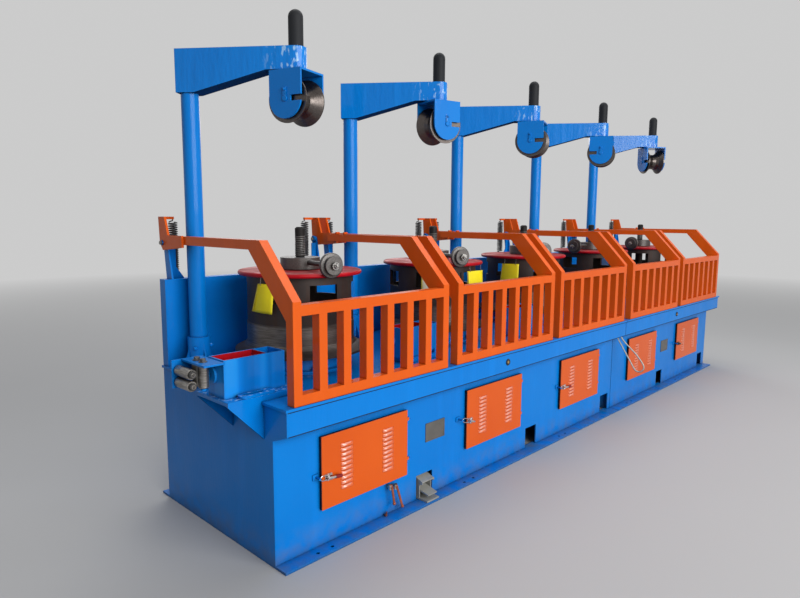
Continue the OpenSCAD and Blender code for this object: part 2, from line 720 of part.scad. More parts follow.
module door_hinges() color(orange)
    for (i = BLOCKS, z = hinge_zs) at_block(i) {
        translate([hinge_x, hinge_y, z]) cylinder(r = hinge_r, h = hinge_half);
        translate([hinge_x, hinge_y, z]) cylinder(d = pin_d, h = 2 * hinge_half + 4);
        block([hinge_x - 2, hinge_y, z], [hinge_x + 2, 0, z + hinge_half]);
        block([hinge_x - 2, -4, z], [hinge_x + 34, 0, z + hinge_half]);
    }

// Die boxes on their bolsters, and the shelf that carries the first one

clamp_x = -74;
module clamp_plate() linear_extrude(clamp_t) difference() {
    union() {
        translate([0, -clamp_w / 2]) square([clamp_len - clamp_w / 2, clamp_w]);
        translate([clamp_len - clamp_w / 2, 0]) circle(d = clamp_w);
        circle(d = clamp_w);
    }
    translate([0, -clamp_slot / 2]) square([clamp_len - clamp_w - 10, clamp_slot]);
    circle(d = clamp_slot);
    translate([clamp_len - clamp_w - 10, 0]) circle(d = clamp_slot);
}

box_z = table_z + bolster_h;
wire_z = table_z + wire_h;
boss_d = 74;
boss_t = 12;
wire_hole_d = 20;
module die_boxes() color(blue)
    for (i = BLOCKS) at_block(i) difference() {
        union() {
            block([box_x, box_y, box_z], [box_x + box_len, box_y + box_w, box_z + box_h]);
            if (i > 1) block([box_x + 20, box_y - 30, table_z], [box_x + box_len - 20, box_y + box_w, box_z]);
            translate([box_x - boss_t, wire_y, wire_z]) rotate([0, 90, 0]) cylinder(d = boss_d, h = boss_t + 1);
        }
        block([box_x + box_wall, box_y + box_wall, box_z + box_wall],
              [box_x + box_len - box_side_len - box_wall * 2, box_y + box_w - box_wall, box_z + box_h + eps]);
        block([box_x + box_len - box_side_len - box_wall, box_y + box_wall, box_z + box_h / 2],
              [box_x + box_len - box_wall, box_y + box_w - box_wall, box_z + box_h + eps]);
        translate([box_x - boss_t - eps, wire_y, wire_z]) rotate([0, 90, 0])
            cylinder(d = wire_hole_d, h = box_len + boss_t + 2 * eps);
    }

shelf_in = box_x + box_len + 12;
module end_shelf() at_block(1) color(blue) {
    translate([clamp_x, box_y - clamp_w / 2 - 3, box_z]) clamp_plate();
    block([-shelf_out, shelf_y, box_z - shelf_t], [-table_lip, shelf_y + shelf_depth, box_z]);
    block([-table_lip - eps, shelf_y, table_z], [shelf_in, shelf_y + shelf_depth, box_z]);
    for (y = [shelf_y, shelf_y + shelf_depth - 10])
        translate([0, y + 10, 0]) rotate([90, 0, 0]) linear_extrude(10)
            polygon([[-shelf_out, box_z - shelf_t], [-table_lip - eps, box_z - shelf_t],
                     [-table_lip - eps, frame_h], [0, frame_h],
                     [0, box_z - shelf_t - gusset_h], [-shelf_out, box_z - shelf_t - 4]]);
}

// Inlet rollers: a level pair, then an upright pair, on one frame

roller_pitch = roller_d + wire_gap;
upright_x = box_x - 58;
level_x = box_x - 112;
lug_z = box_z + box_h - 13;
lug_plate_t = 8;
frame_back_y = wire_y + 88;
level_y0 = frame_back_y - 5 - roller_level_len;
upright_z0 = lug_z - 5 - roller_len;
module inlet_frame() at_block(1) color(blue) difference() {
    union() {
        block([level_x + 17, box_y - 13, lug_z], [box_x, frame_back_y + 10, lug_z + lug_plate_t]);
        block([level_x - 28, frame_back_y, wire_z - 50], [box_x, frame_back_y + 10, lug_z + lug_plate_t]);
        for (s = [-1, 1]) {
            translate([upright_x, wire_y + s * roller_pitch / 2, upright_z0 - 8])
                cylinder(d = roller_axle_d, h = lug_z + lug_plate_t + 12 - upright_z0 + 8);
            translate([upright_x, wire_y + s * roller_pitch / 2, upright_z0 - 12]) cylinder(d = 26, h = 8);
            translate([level_x, level_y0 - 8, wire_z + s * roller_pitch / 2]) rotate([-90, 0, 0])
                cylinder(d = roller_axle_d, h = frame_back_y - level_y0 + 9);
            translate([level_x, level_y0 - 12, wire_z + s * roller_pitch / 2]) rotate([-90, 0, 0])
                cylinder(d = 26, h = 8);
        }
    }
}

module roller(len) color(steel) rotate_extrude()
    polygon([[roller_axle_d / 2 + fit, 3], [roller_d / 2 - 5, 3], [roller_d / 2 - 5, 0], [roller_d / 2 - 1.5, 0],
             [roller_d / 2, 1.5], [roller_d / 2, len - 1.5], [roller_d / 2 - 1.5, len], [roller_d / 2 - 5, len],
             [roller_d / 2 - 5, len - 3], [roller_axle_d / 2 + fit, len - 3]]);
module level_roller(side) at_block(1) translate([level_x, level_y0, wire_z + side * roller_pitch / 2])
    rotate([-90, 0, 0]) roller(roller_level_len);
module upright_roller(side) at_block(1) translate([upright_x, wire_y + side * roller_pitch / 2, upright_z0])
    roller(roller_len);

// Foot pedal in the first notch: base, treadle and hood

pedal_w = 96;
hood_t = 5;
module foot_pedal() at_block(1) translate([notch_x + 14, 0, rail_t]) color([0.5, 0.5, 0.48]) {
    block([0, -rail_w + 6, 0], [pedal_w, 80, 9]);
    along_x(0, hood_t)
        polygon([[-12, 8], [80, 8], [80, 122], [20, 122], [-34, 104], [-34, 92], [-12, 84]]);
    along_x(pedal_w - hood_t, pedal_w)
        polygon([[-12, 8], [80, 8], [80, 122], [20, 122], [-34, 104], [-34, 92], [-12, 84]]);
    along_x(0, pedal_w)
        polygon([[-34, 104], [20, 122], [80, 122], [80, 117], [21, 117], [-34, 99]]);
    along_x(12, pedal_w - 12)
        polygon([[-64, 30], [30, 52], [40, 46], [40, 8], [52, 8], [52, 52], [32, 62], [-66, 38]]);
}

// Two small drain valves with hanging lever handles, below the first door
module valve(x, z, lean, lever) translate([x, 0, z]) {
    rotate([90, 0, 0]) cylinder(d = 14, h = 26);
    translate([0, -26, -13]) cylinder(d = 22, h = 26);
    translate([0, -25, 0]) rotate([90, 0, 0]) cylinder(d = 12, h = 16);
    translate([0, -38, 0]) rotate([0, lean, 0]) {
        translate([-6, -2.5, -lever]) cube([12, 5, lever + 6]);
        translate([0, 0, -lever]) sphere(d = 18);
    }
}
module valve_levers() at_block(1) color([0.5, 0.2, 0.15]) {
    valve(690, 166, -10, 92);
    valve(726, 158, -19, 124);
}

front_wall(0);  // front_wall_left
front_wall(1);  // front_wall_right
end_plates();
rear_walls();
table_plates();
front_ledges();
foot_rails();
back_walls();
end_shelf();
posts();
post_sockets();
arms();
drum_pedestals();
guard_brackets();
guard_springs();
die_boxes();
inlet_frame();
foot_pedal();
valve_levers();
door_hinges();
hose_loop();
level_roller(1);  // inlet_roller_upper
level_roller(-1);  // inlet_roller_lower
upright_roller(-1);  // inlet_roller_front
upright_roller(1);  // inlet_roller_rear
for (i = BLOCKS) {
    door(i);
    drum(i);
    flyer(i);
    flyer_pulley(i);
    fork(i);
    head_pulley(i);
    guard(i);
}
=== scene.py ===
"""Finish and fittings of a five-drum wire drawing machine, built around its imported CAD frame.

All lengths are in metres, in the frame's own axes: X along the machine, Y from the front wall
to the rear, Z up, with the origin at the foot of the front wall, halfway along."""

import math
import random

import bmesh
import bpy
from mathutils import Matrix, Vector


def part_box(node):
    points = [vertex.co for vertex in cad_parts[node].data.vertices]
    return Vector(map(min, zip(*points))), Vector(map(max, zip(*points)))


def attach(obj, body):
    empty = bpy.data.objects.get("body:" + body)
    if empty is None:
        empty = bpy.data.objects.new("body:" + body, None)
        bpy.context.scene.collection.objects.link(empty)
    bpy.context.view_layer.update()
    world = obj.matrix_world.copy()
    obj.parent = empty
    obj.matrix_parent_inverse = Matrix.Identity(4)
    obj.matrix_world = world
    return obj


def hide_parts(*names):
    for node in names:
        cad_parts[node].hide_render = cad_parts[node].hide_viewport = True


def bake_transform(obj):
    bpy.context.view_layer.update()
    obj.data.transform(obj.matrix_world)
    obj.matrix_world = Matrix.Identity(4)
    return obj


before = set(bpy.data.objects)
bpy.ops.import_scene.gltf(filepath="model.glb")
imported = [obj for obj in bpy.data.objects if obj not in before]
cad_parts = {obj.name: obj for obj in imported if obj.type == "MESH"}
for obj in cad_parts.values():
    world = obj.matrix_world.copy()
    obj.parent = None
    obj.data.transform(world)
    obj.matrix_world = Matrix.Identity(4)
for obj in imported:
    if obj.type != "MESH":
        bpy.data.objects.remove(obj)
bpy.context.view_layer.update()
rng = random.Random(5)

# Sizes of the machine; the X of a drum, post, guard or door is counted from its block's left edge

BLOCKS = (1, 2, 3, 4, 5)
LEFT_X = -2.735
PITCH = 1.080
# The right-hand section, from block 4 on, stands this much further on
SECTION_EXTRA = 0.037
TABLE_Z = 0.747
DRUM_X, DRUM_Y = 0.551, 0.522
FLANGE_Z, FLANGE_TOP_Z = 1.240, 1.262
FLYER_TURNS = [math.radians(a) for a in (-101, -110, -122, -176, -170)]
FLYER_AXLE_Z = 1.303
# The flyer's pulley: its inner face from the drum's axis, and its width
PULLEY_IN, PULLEY_W = 0.332, 0.044
SPINDLE_SPRING_Z = 1.333, 1.440
POST_X, POST_Y = 0.131, 0.860
ARM_REACH, ARM_TURN = 0.556, math.radians(-53)
ARM_TOP_Z = 2.360
FORK_TURNS = [math.radians(a) for a in (16, 76, 22, 203, -40)]
# Axle of the overhead pulleys
HEAD_Z = 2.106
GUARD_X, GUARD_W = 0.037, 1.002
PIVOT_Y, PIVOT_Z = 1.010, 1.400
DOOR_X, DOOR_W, DOOR_Z, DOOR_H = 0.249, 0.572, 0.190, 0.353
DOOR_FACE_Y = -0.020
LEDGE_FACE_Y = -0.104
# The valves' bodies lie behind this plane and their handles in front of it
VALVE_SPLIT_Y = -0.0365


def block_x(number):
    """Left edge of a block."""
    return LEFT_X + (number - 1) * PITCH + (SECTION_EXTRA if number > 3 else 0)


# Shader sums and materials


class Value:
    """One shader socket that can stand in a sum."""

    def __init__(self, look, socket):
        self.look, self.socket = look, socket

    def _sum(self, operation, first, second):
        """Adds the Math node of one operation."""
        return self.look.add("ShaderNodeMath", {"operation": operation}, {0: first, 1: second})

    def __add__(self, other):
        return self._sum("ADD", self, other)

    def __sub__(self, other):
        return self._sum("SUBTRACT", self, other)

    def __rsub__(self, other):
        return self._sum("SUBTRACT", other, self)

    def __mul__(self, other):
        return self._sum("MULTIPLY", self, other)

    def __pow__(self, other):
        return self._sum("POWER", self, other)

    def __gt__(self, other):
        return self._sum("GREATER_THAN", self, other)

    def __lt__(self, other):
        return self._sum("LESS_THAN", self, other)

    __radd__ = __add__
    __rmul__ = __mul__

    def over(self, low, high):
        """0 at low, 1 at high and beyond, straight between."""
        return self.look.add("ShaderNodeMapRange", {"clamp": True},
                             {"Value": self, "From Min": low, "From Max": high})


class Nodes:
    """A node tree whose new nodes all come from one method."""

    def __init__(self, tree):
        self.tree = tree

    def add(self, kind, settings, sockets, output=0):
        """Makes a node, its settings first, and gives back one of its outputs."""
        node = self.tree.nodes.new(kind)
        for name, setting in settings.items():
            setattr(node, name, setting)
        for name, value in sockets.items():
            self.join(node.inputs[name], value)
        return Value(self, node.outputs[output])

    def join(self, socket, value):
        """Links a value to a socket, or sets the socket to a number, vector or colour."""
        if isinstance(value, Value):
            self.tree.links.new(value.socket, socket)
        elif isinstance(value, tuple) and socket.type == "RGBA":
            socket.default_value = (*value, 1)
        else:
            socket.default_value = value

    def seen_directly(self):
        """1 for the camera, for mirror images and through glass, and 0 for soft light."""
        factor = self.add("ShaderNodeLightPath", {}, {}, "Is Camera Ray")
        for name in ("Is Glossy Ray", "Is Transmission Ray"):
            ray = self.add("ShaderNodeLightPath", {}, {}, name)
            factor = self.add("ShaderNodeMath", {"operation": "MAXIMUM"}, {0: factor, 1: ray})
        return factor


class Look(Nodes):
    """One material, written as sums of its sockets."""

    def __init__(self, name, **sockets):
        self.material = bpy.data.materials.new(name)
        self.material.use_nodes = True
        super().__init__(self.material.node_tree)
        self.shader = self.tree.nodes["Principled BSDF"]
        self.place = self.add("ShaderNodeTexCoord", {}, {}, "Object")
        self.set(**sockets)

    def set(self, **sockets):
        """Sets the shader's sockets; an underscore stands for a space."""
        for name, value in sockets.items():
            self.join(self.shader.inputs[name.replace("_", " ")], value)

    def axis(self, name):
        """Place along X, Y or Z, in the object's own frame."""
        return self.add("ShaderNodeSeparateXYZ", {}, {0: self.place}, name)

    def normal(self, name):
        """One part of the direction that the surface faces, in the object's own frame."""
        faces = self.add("ShaderNodeTexCoord", {}, {}, "Normal")
        return self.add("ShaderNodeSeparateXYZ", {}, {0: faces}, name)

    def noise(self, scale, detail=3.0, stretch=None, roughness=0.5):
        """Cloudy pattern; a stretch below 1 draws it out along that axis."""
        place = self.place
        if stretch:
            place = self.add("ShaderNodeMapping", {}, {"Vector": place, "Scale": stretch})
        return self.add("ShaderNodeTexNoise", {},
                        {"Vector": place, "Scale": scale, "Detail": detail, "Roughness": roughness})

    def blend(self, mask, low, high):
        """Colour that goes from low to high with the mask."""
        return self.add("ShaderNodeMix", {"data_type": "RGBA"}, {0: mask, 6: low, 7: high}, 2)

    def corners(self, reach=0.022):
        """1 deep in corners and under lips and 0 on open faces: the mask for painted shade."""
        free = self.add("ShaderNodeAmbientOcclusion", {"samples": 5}, {"Distance": reach}, "AO")
        return (1 - free).over(0.22, 0.75)

    def relief(self, height, strength, depth, edge):
        """Bumps from a height; edge rounds the sharp corners by that radius."""
        rounded = self.add("ShaderNodeBevel", {"samples": 4}, {"Radius": edge})
        self.set(Normal=self.add("ShaderNodeBump", {}, {"Height": height, "Strength": strength,
                                                        "Distance": depth, "Normal": rounded}))


def shade(colour, factor):
    """The colour, darker or paler."""
    return tuple(c * factor for c in colour)


BLUE = (0.001, 0.225, 0.740)
BLUE_DEEP = (0.001, 0.175, 0.640)
ORANGE = (0.800, 0.120, 0.009)
ORANGE_DEEP = (0.700, 0.094, 0.007)
DUST = (0.17, 0.16, 0.15)
# Pale blue of the painted highlights on the arms' noses and on faces that look up.
GLINT_BLUE = (0.50, 0.76, 0.98)
CAST_RED, CAST_RED_DEEP = (0.50, 0.006, 0.012), (0.34, 0.005, 0.010)
PAINT_GLOSS = {"IOR": 1.2, "Coat_IOR": 1.36, "Coat_Roughness": 0.08}
NOSE_Y = POST_Y + math.sin(ARM_TURN) * ARM_REACH


def enamel(name, colour, deep, grime=0.5, gloss=0.30, under_shade=0.0, runs=0.0):
    """Brushed machine enamel: uneven coats, dust low down, small chips, painted shade in corners, on faces
    that look down and near overhangs, and runs with painted highlights.
    """
    look = Look(name, **PAINT_GLOSS)
    cloud = look.noise(1.7, 4.0).over(0.3, 0.75)
    coat = look.blend(cloud * 0.55, colour, deep)
    streak = look.noise(9.0, 5.0, stretch=(1.0, 1.0, 0.12)).over(0.50, 0.78)
    coat = look.blend(streak * 0.4, coat, shade(colour, 1.22))
    height = look.axis("Z")
    dust = (1 - height.over(0.0, 0.16)) * look.noise(14.0, 6.0).over(0.35, 0.7)
    coat = look.blend(dust * grime, coat, DUST)
    chip = look.noise(55.0, 5.0, roughness=0.7).over(0.715, 0.73)
    coat = look.blend(chip * 0.7, coat, shade(deep, 0.35))
    under = 0.0
    # Painted shade: faces that look down are darkened, and so are faces within reach of an overhang such
    # as the ledge, as its painted shadow.
    if under_shade:
        under = (0 - look.normal("Z")).over(0.10, 0.45) * under_shade
        coat = look.blend(under, coat, shade(deep, 0.2))
        coat = look.blend(look.corners(0.11) * under_shade * 0.85, coat, shade(deep, 0.28))
    # Painted shade in corners, under lips and between parts.
    coat = look.blend(look.corners() * 0.72, coat, shade(deep, 0.16))
    # Painted highlights: pale blue flecks on the arms' noses overhead and on faces that look up. The same
    # runs value also scales the paint runs' bumps and the coat.
    if runs:
        overhead = height.over(1.5, 1.6)
        nose = overhead * (1 - look.axis("Y").over(NOSE_Y - 0.02, NOSE_Y + 0.10))
        laid = (1 - overhead) * look.normal("Z").over(0.6, 0.9)
        glints = look.noise(52.0, 4.0, stretch=(1.0, 1.0, 0.4)).over(0.56, 0.63)
        coat = look.blend(glints * (nose * 0.75 + laid * 0.55) * runs, coat, GLINT_BLUE)
    smear = look.noise(6.0, 5.0).over(0.35, 0.7)
    look.set(Base_Color=coat, Roughness=smear * 0.14 + gloss + dust * 0.3 + under,
             Coat_Weight=0.32 + runs * 0.3 - chip * 0.32 - under)
    brush = look.noise(75.0, 3.0, stretch=(1.0, 1.0, 0.16)).over(0.3, 0.75)
    peel = look.noise(240.0, 2.0) * 0.4 + look.noise(22.0, 3.0) * 1.2 + brush * 0.9 - chip * 0.5
    if runs:
        peel = peel + look.noise(26.0, 3.0, stretch=(1.0, 1.0, 0.3)).over(0.35, 0.7) * (runs * 5.0)
    look.relief(peel, 0.26, 0.0012, 0.0025)
    return look.material


blue_enamel = enamel("blue_enamel", BLUE, BLUE_DEEP, under_shade=0.92)
# Enamel of the bolts, painted 1.25 times paler than the blue as a painted highlight.
highlit_blue = enamel("wet_blue_enamel", shade(BLUE, 1.25), BLUE, grime=0.1, gloss=0.12)
# Enamel with paint runs and painted highlights, for the arms and the end shelf.
thick_glinting_blue = enamel("thick_blue_enamel", BLUE, BLUE_DEEP, gloss=0.2, under_shade=0.92, runs=1.0)
orange_enamel = enamel("orange_enamel", ORANGE, ORANGE_DEEP, grime=0.2)


def turned_metal(name, dark, light, roughness, stretch, metallic=0.85, rust=0.0):
    """Machined steel with turning marks and oily patches."""
    look = Look(name, IOR=1.6)
    marks = look.noise(30.0, 3.0, stretch=stretch)
    patch = look.noise(7.0, 5.0).over(0.3, 0.72)
    metal = look.blend(marks.over(0.3, 0.7) * 0.6 + patch * 0.3, dark, light)
    stain = look.noise(19.0, 6.0, roughness=0.65).over(0.52, 0.7) * rust
    metal = look.blend(stain, metal, (0.075, 0.038, 0.020))
    look.set(Base_Color=metal, Metallic=metallic - stain * metallic,
             Roughness=patch * 0.16 + roughness + stain * 0.3)
    look.relief(marks, 0.25, 0.0006, 0.0015)
    return look.material


bare_steel = turned_metal(
    "turned_steel", (0.10, 0.094, 0.088), (0.46, 0.44, 0.41), 0.24, (1, 1, 14), rust=0.25)
dark_steel = turned_metal(
    "oiled_steel", (0.055, 0.052, 0.050), (0.16, 0.15, 0.145), 0.36, (6, 6, 6), 0.7, 0.15)
pulley_steel = turned_metal(
    "pulley_steel", (0.050, 0.041, 0.038), (0.19, 0.168, 0.156), 0.26, (9, 9, 9), 0.95, 0.12)
chrome = turned_metal("latch_chrome", (0.62, 0.61, 0.60), (0.82, 0.81, 0.80), 0.16, (4, 4, 4), 1.0)
nut_steel = turned_metal("nut_steel", (0.05, 0.05, 0.05), (0.60, 0.58, 0.56), 0.2, (3, 3, 3), 1.0)
brass = turned_metal("valve_brass", (0.38, 0.25, 0.10), (0.62, 0.44, 0.20), 0.28, (4, 4, 4), 0.9)


def satin(name, colour, deep, roughness, bump=0.12, scale=90.0):
    """Plain satin skin with soft tone changes: rubber, plastic, primer and cast paint."""
    look = Look(name)
    cloud = look.noise(11.0, 5.0).over(0.3, 0.7)
    grain = look.noise(scale, 3.0)
    look.set(Base_Color=look.blend(cloud, colour, deep), Roughness=cloud * 0.12 + roughness)
    look.relief(grain, bump, 0.0008, 0.001)
    return look.material


black_paint = satin("black_paint", (0.022, 0.022, 0.024), (0.040, 0.038, 0.038), 0.42)
spring_steel = satin("spring_steel", (0.085, 0.083, 0.081), (0.130, 0.122, 0.115), 0.28)
black_rubber = satin("black_rubber", (0.012, 0.012, 0.013), (0.022, 0.022, 0.022), 0.6)
dark_red = satin("latch_red", (0.30, 0.010, 0.014), (0.20, 0.008, 0.010), 0.4)
rust_red = satin("rust_red", (0.20, 0.040, 0.022), (0.11, 0.028, 0.018), 0.5)
card_yellow = satin("card_yellow", (0.98, 0.86, 0.012), (0.92, 0.78, 0.010), 0.45, 0.05)
card_edge = satin("card_edge", (0.46, 0.40, 0.03), (0.36, 0.31, 0.03), 0.55, 0.05)
card_pale = satin("card_pale", (0.80, 0.79, 0.62), (0.72, 0.70, 0.50), 0.5, 0.05)
pedal_grey = satin("pedal_grey", (0.36, 0.36, 0.33), (0.25, 0.25, 0.235), 0.42, 0.3, 260.0)
plate_grey = satin("plate_grey", (0.145, 0.138, 0.128), (0.10, 0.095, 0.088), 0.35, 0.08)
# Near-black blue of the strips of painted shadow on the ledge.
shadow_blue = satin("shadow_blue", shade(BLUE_DEEP, 0.14), shade(BLUE_DEEP, 0.08), 0.8)


def hose_look():
    """Pale hose with painted light and shade: pale on faces turned up, left and forward, near black on the
    others.
    """
    look = Look("hose_grey", Roughness=0.38)
    # Painted light and shade from the way each face turns.
    lit_side = (look.normal("Z") * 0.5 - look.normal("Y") * 0.2 - look.normal("X") * 0.8).over(0.25, 0.55)
    pale = look.blend(look.noise(30.0, 3.0), (0.62, 0.62, 0.56), (0.48, 0.49, 0.44))
    look.set(Base_Color=look.blend(lit_side, (0.035, 0.035, 0.035), pale))
    return look.material


hose_grey = hose_look()

# Heights between which the drum's worn band fades in and out
WORN_LOW_Z, WORN_HIGH_Z = (0.862, 0.890), (0.985, 1.000)


def drum_look():
    """Cast drum: dark rusty skin, a bright worn band, a red flange, a black spring cap."""
    look = Look("drum_iron", IOR=1.3)
    slack = 0.0003
    height = look.axis("Z")
    lines = look.noise(24.0, 4.0, stretch=(0.6, 0.6, 26.0))
    cloud = look.noise(6.0, 6.0, roughness=0.6).over(0.3, 0.7)
    iron = look.blend(cloud * 0.8, (0.032, 0.026, 0.025), (0.062, 0.048, 0.043))
    runs = look.noise(16.0, 5.0, stretch=(1.6, 1.6, 0.22)).over(0.50, 0.70)
    iron = look.blend(runs * 0.55, iron, (0.062, 0.030, 0.019))
    worn = look.blend(lines.over(0.35, 0.65), (0.080, 0.070, 0.064), (0.22, 0.20, 0.185))
    stain = look.noise(4.5, 5.0, stretch=(1.0, 1.0, 3.0)).over(0.42, 0.66)
    worn = look.blend(stain * 0.6, worn, (0.072, 0.058, 0.050))
    band = height.over(*WORN_LOW_Z) * (1 - height.over(*WORN_HIGH_Z))
    skin = look.blend(band, iron, worn)
    red = look.blend(look.noise(13.0, 6.0).over(0.3, 0.75), (0.52, 0.003, 0.012), (0.34, 0.004, 0.010))
    top = height.over(FLANGE_TOP_Z - 0.0012, FLANGE_TOP_Z - 0.0006)
    dusty = look.noise(8.0, 6.0, roughness=0.65).over(0.38, 0.62) * top
    red = look.blend(dusty * 0.6, red, (0.15, 0.085, 0.072))
    flange = (height > FLANGE_Z - slack) * (height < FLANGE_TOP_Z + slack)
    skin = look.blend(flange, skin, red)
    above = height > FLANGE_TOP_Z + slack
    skin = look.blend(above, skin, (0.014, 0.013, 0.013))
    bare = 1 - flange
    look.set(Base_Color=skin, Metallic=bare * (band * 0.5 + 0.35) * (1 - above * 0.8),
             Roughness=0.42 - band * 0.08 + cloud * 0.12 - flange * 0.12 + dusty * 0.35)
    look.relief(lines * (band + 0.4) * bare + cloud * 0.5, 0.3, 0.0008, 0.0015)
    return look.material


drum_iron = drum_look()


def fork_look():
    """Blue fork with a black cap tube above the arm."""
    look = Look("fork_blue_and_black", **PAINT_GLOSS)
    height = look.axis("Z")
    cloud = look.noise(3.0, 4.0).over(0.3, 0.75)
    coat = look.blend(cloud * 0.6, BLUE, BLUE_DEEP)
    chip = look.noise(60.0, 5.0, roughness=0.7).over(0.69, 0.71)
    coat = look.blend(chip * 0.7, coat, shade(BLUE_DEEP, 0.3))
    # Painted shade in corners and under lips.
    coat = look.blend(look.corners() * 0.7, coat, shade(BLUE_DEEP, 0.16))
    cap = height > ARM_TOP_Z + 0.0005
    coat = look.blend(cap, coat, look.blend(cloud, (0.022, 0.024, 0.028), (0.034, 0.035, 0.038)))
    look.set(Base_Color=coat, Roughness=cloud * 0.1 + 0.3 + cap * 0.18, Coat_Weight=0.5 - cap * 0.5)
    look.relief(look.noise(200.0, 2.0) * 0.5 + look.noise(24.0, 3.0), 0.22, 0.001, 0.0025)
    return look.material


fork_blue = fork_look()

# Inner faces of the soap chamber; its X is counted from the box's left side
CHAMBER_X, CHAMBER_Y, CHAMBER_Z = (0.0075, 0.2156), (0.1325, 0.2455), (0.7815, 0.9396)
BOX_BACK_X = 0.150


def box_look():
    """Die box: blue outside with painted upright bands of reflection and painted shade in corners, a red
    soap chamber and a blue side chamber.
    """
    look = Look("die_box_blue_and_red", **PAINT_GLOSS)
    along, across, height = (look.axis(a) for a in "XYZ")
    cloud = look.noise(3.0, 4.0).over(0.3, 0.75)
    coat = look.blend(cloud * 0.6, BLUE, BLUE_DEEP)
    # Painted reflections: upright bands of darker and paler blue.
    reflection_bands = look.noise(11.0, 2.0, stretch=(1.0, 1.0, 0.03))
    coat = look.blend(reflection_bands.over(0.50, 0.62) * 0.5, coat, shade(BLUE_DEEP, 0.7))
    coat = look.blend((1 - reflection_bands.over(0.38, 0.48)) * 0.5, coat, (0.02, 0.36, 0.92))
    lefts = [block_x(number) - BOX_BACK_X for number in BLOCKS]
    inside = sum((along > left + CHAMBER_X[0]) * (along < left + CHAMBER_X[1]) for left in lefts)
    inside = inside * (across > CHAMBER_Y[0]) * (across < CHAMBER_Y[1])
    inside = inside * (height > CHAMBER_Z[0]) * (height < CHAMBER_Z[1])
    red = look.blend(look.noise(18.0, 5.0).over(0.3, 0.7), CAST_RED, CAST_RED_DEEP)
    # Painted shade in corners and under lips.
    coat = look.blend(look.corners() * 0.72, look.blend(inside, coat, red), (0.010, 0.016, 0.050))
    look.set(Base_Color=coat, Roughness=cloud * 0.12 + 0.3, Coat_Weight=0.55)
    look.relief(look.noise(200.0, 2.0) * 0.5 + look.noise(22.0, 3.0), 0.22, 0.001, 0.0025)
    return look.material


die_box_blue = box_look()


def door_look():
    """Orange door, near black on its edge faces behind the front face, with painted shade in corners."""
    look = Look("door_orange", **PAINT_GLOSS)
    across = look.axis("Y")
    cloud = look.noise(2.2, 4.0).over(0.3, 0.75)
    coat = look.blend(cloud * 0.7, ORANGE, ORANGE_DEEP)
    # Near black on the faces more than 4 mm behind the door's front face.
    edge_behind = across > DOOR_FACE_Y + 0.004
    # Painted shade in corners and under lips.
    coat = look.blend(look.corners() * 0.6, coat, (0.12, 0.016, 0.004))
    coat = look.blend(edge_behind, coat, (0.012, 0.012, 0.014))
    look.set(Base_Color=coat, Roughness=cloud * 0.1 + 0.28 + edge_behind * 0.3, Coat_Weight=0.55 - edge_behind * 0.55)
    look.relief(look.noise(200.0, 2.0) * 0.5 + look.noise(14.0, 3.0), 0.22, 0.0012, 0.002)
    return look.material


door_orange = door_look()


def louvre_look():
    """Orange hoods with a painted near-white highlight on their crests, on faces turned up and to the
    left, fading towards the machine's right.
    """
    look = Look("louvre_orange", IOR=1.5, Coat_Roughness=0.06, Coat_Weight=1.0, Roughness=0.2)
    crest = (DOOR_FACE_Y - look.axis("Y")).over(0.0015, 0.0060)
    lit = (look.normal("Z") * 0.55 - look.normal("X") * 0.85).over(0.22, 0.50)
    far = look.axis("X").over(-0.9, 1.2)
    # Painted highlight on the crests.
    look.set(Base_Color=look.blend(crest * lit * (0.95 - far * 0.65), ORANGE, (1.0, 0.88, 0.82)))
    return look.material


louvre_orange = louvre_look()


def valve_look():
    """Ball valves: bright bodies behind handles dipped in brown."""
    look = Look("valve_metal_and_brown", IOR=1.5)
    behind = look.axis("Y") > VALVE_SPLIT_Y
    cloud = look.noise(30.0, 4.0).over(0.3, 0.7)
    brown = look.blend(cloud, (0.40, 0.095, 0.030), (0.24, 0.055, 0.022))
    metal = look.blend(cloud, (0.42, 0.38, 0.30), (0.62, 0.58, 0.50))
    look.set(Base_Color=look.blend(behind, brown, metal), Metallic=behind * 0.9,
             Roughness=cloud * 0.12 + 0.3)
    return look.material


valve_metal_and_brown = valve_look()

CAD_FINISH = {"hose_loop": hose_grey, "door_hinges": blue_enamel, "foot_pedal": pedal_grey,
              "valve_levers": valve_metal_and_brown, "guard_springs": black_paint,
              "die_boxes": die_box_blue, "arms": thick_glinting_blue, "end_shelf": thick_glinting_blue}
FAMILY_FINISH = {"drum": drum_iron, "flyer": dark_steel, "flyer_pulley": dark_steel, "fork": fork_blue,
                 "head_pulley": pulley_steel, "guard": orange_enamel, "door": door_orange,
                 "inlet_roller": bare_steel}


def finish_cad_nodes():
    """Gives each CAD node its finish: by its own name, by its numbered family, or blue."""
    for node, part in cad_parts.items():
        family, _, last = node.rpartition("_")
        numbered = last.isdigit() or family == "inlet_roller"
        finish = CAD_FINISH.get(node) or (FAMILY_FINISH.get(family) if numbered else None) or blue_enamel
        part.data.materials.clear()
        part.data.materials.append(finish)


finish_cad_nodes()

# Mesh pieces


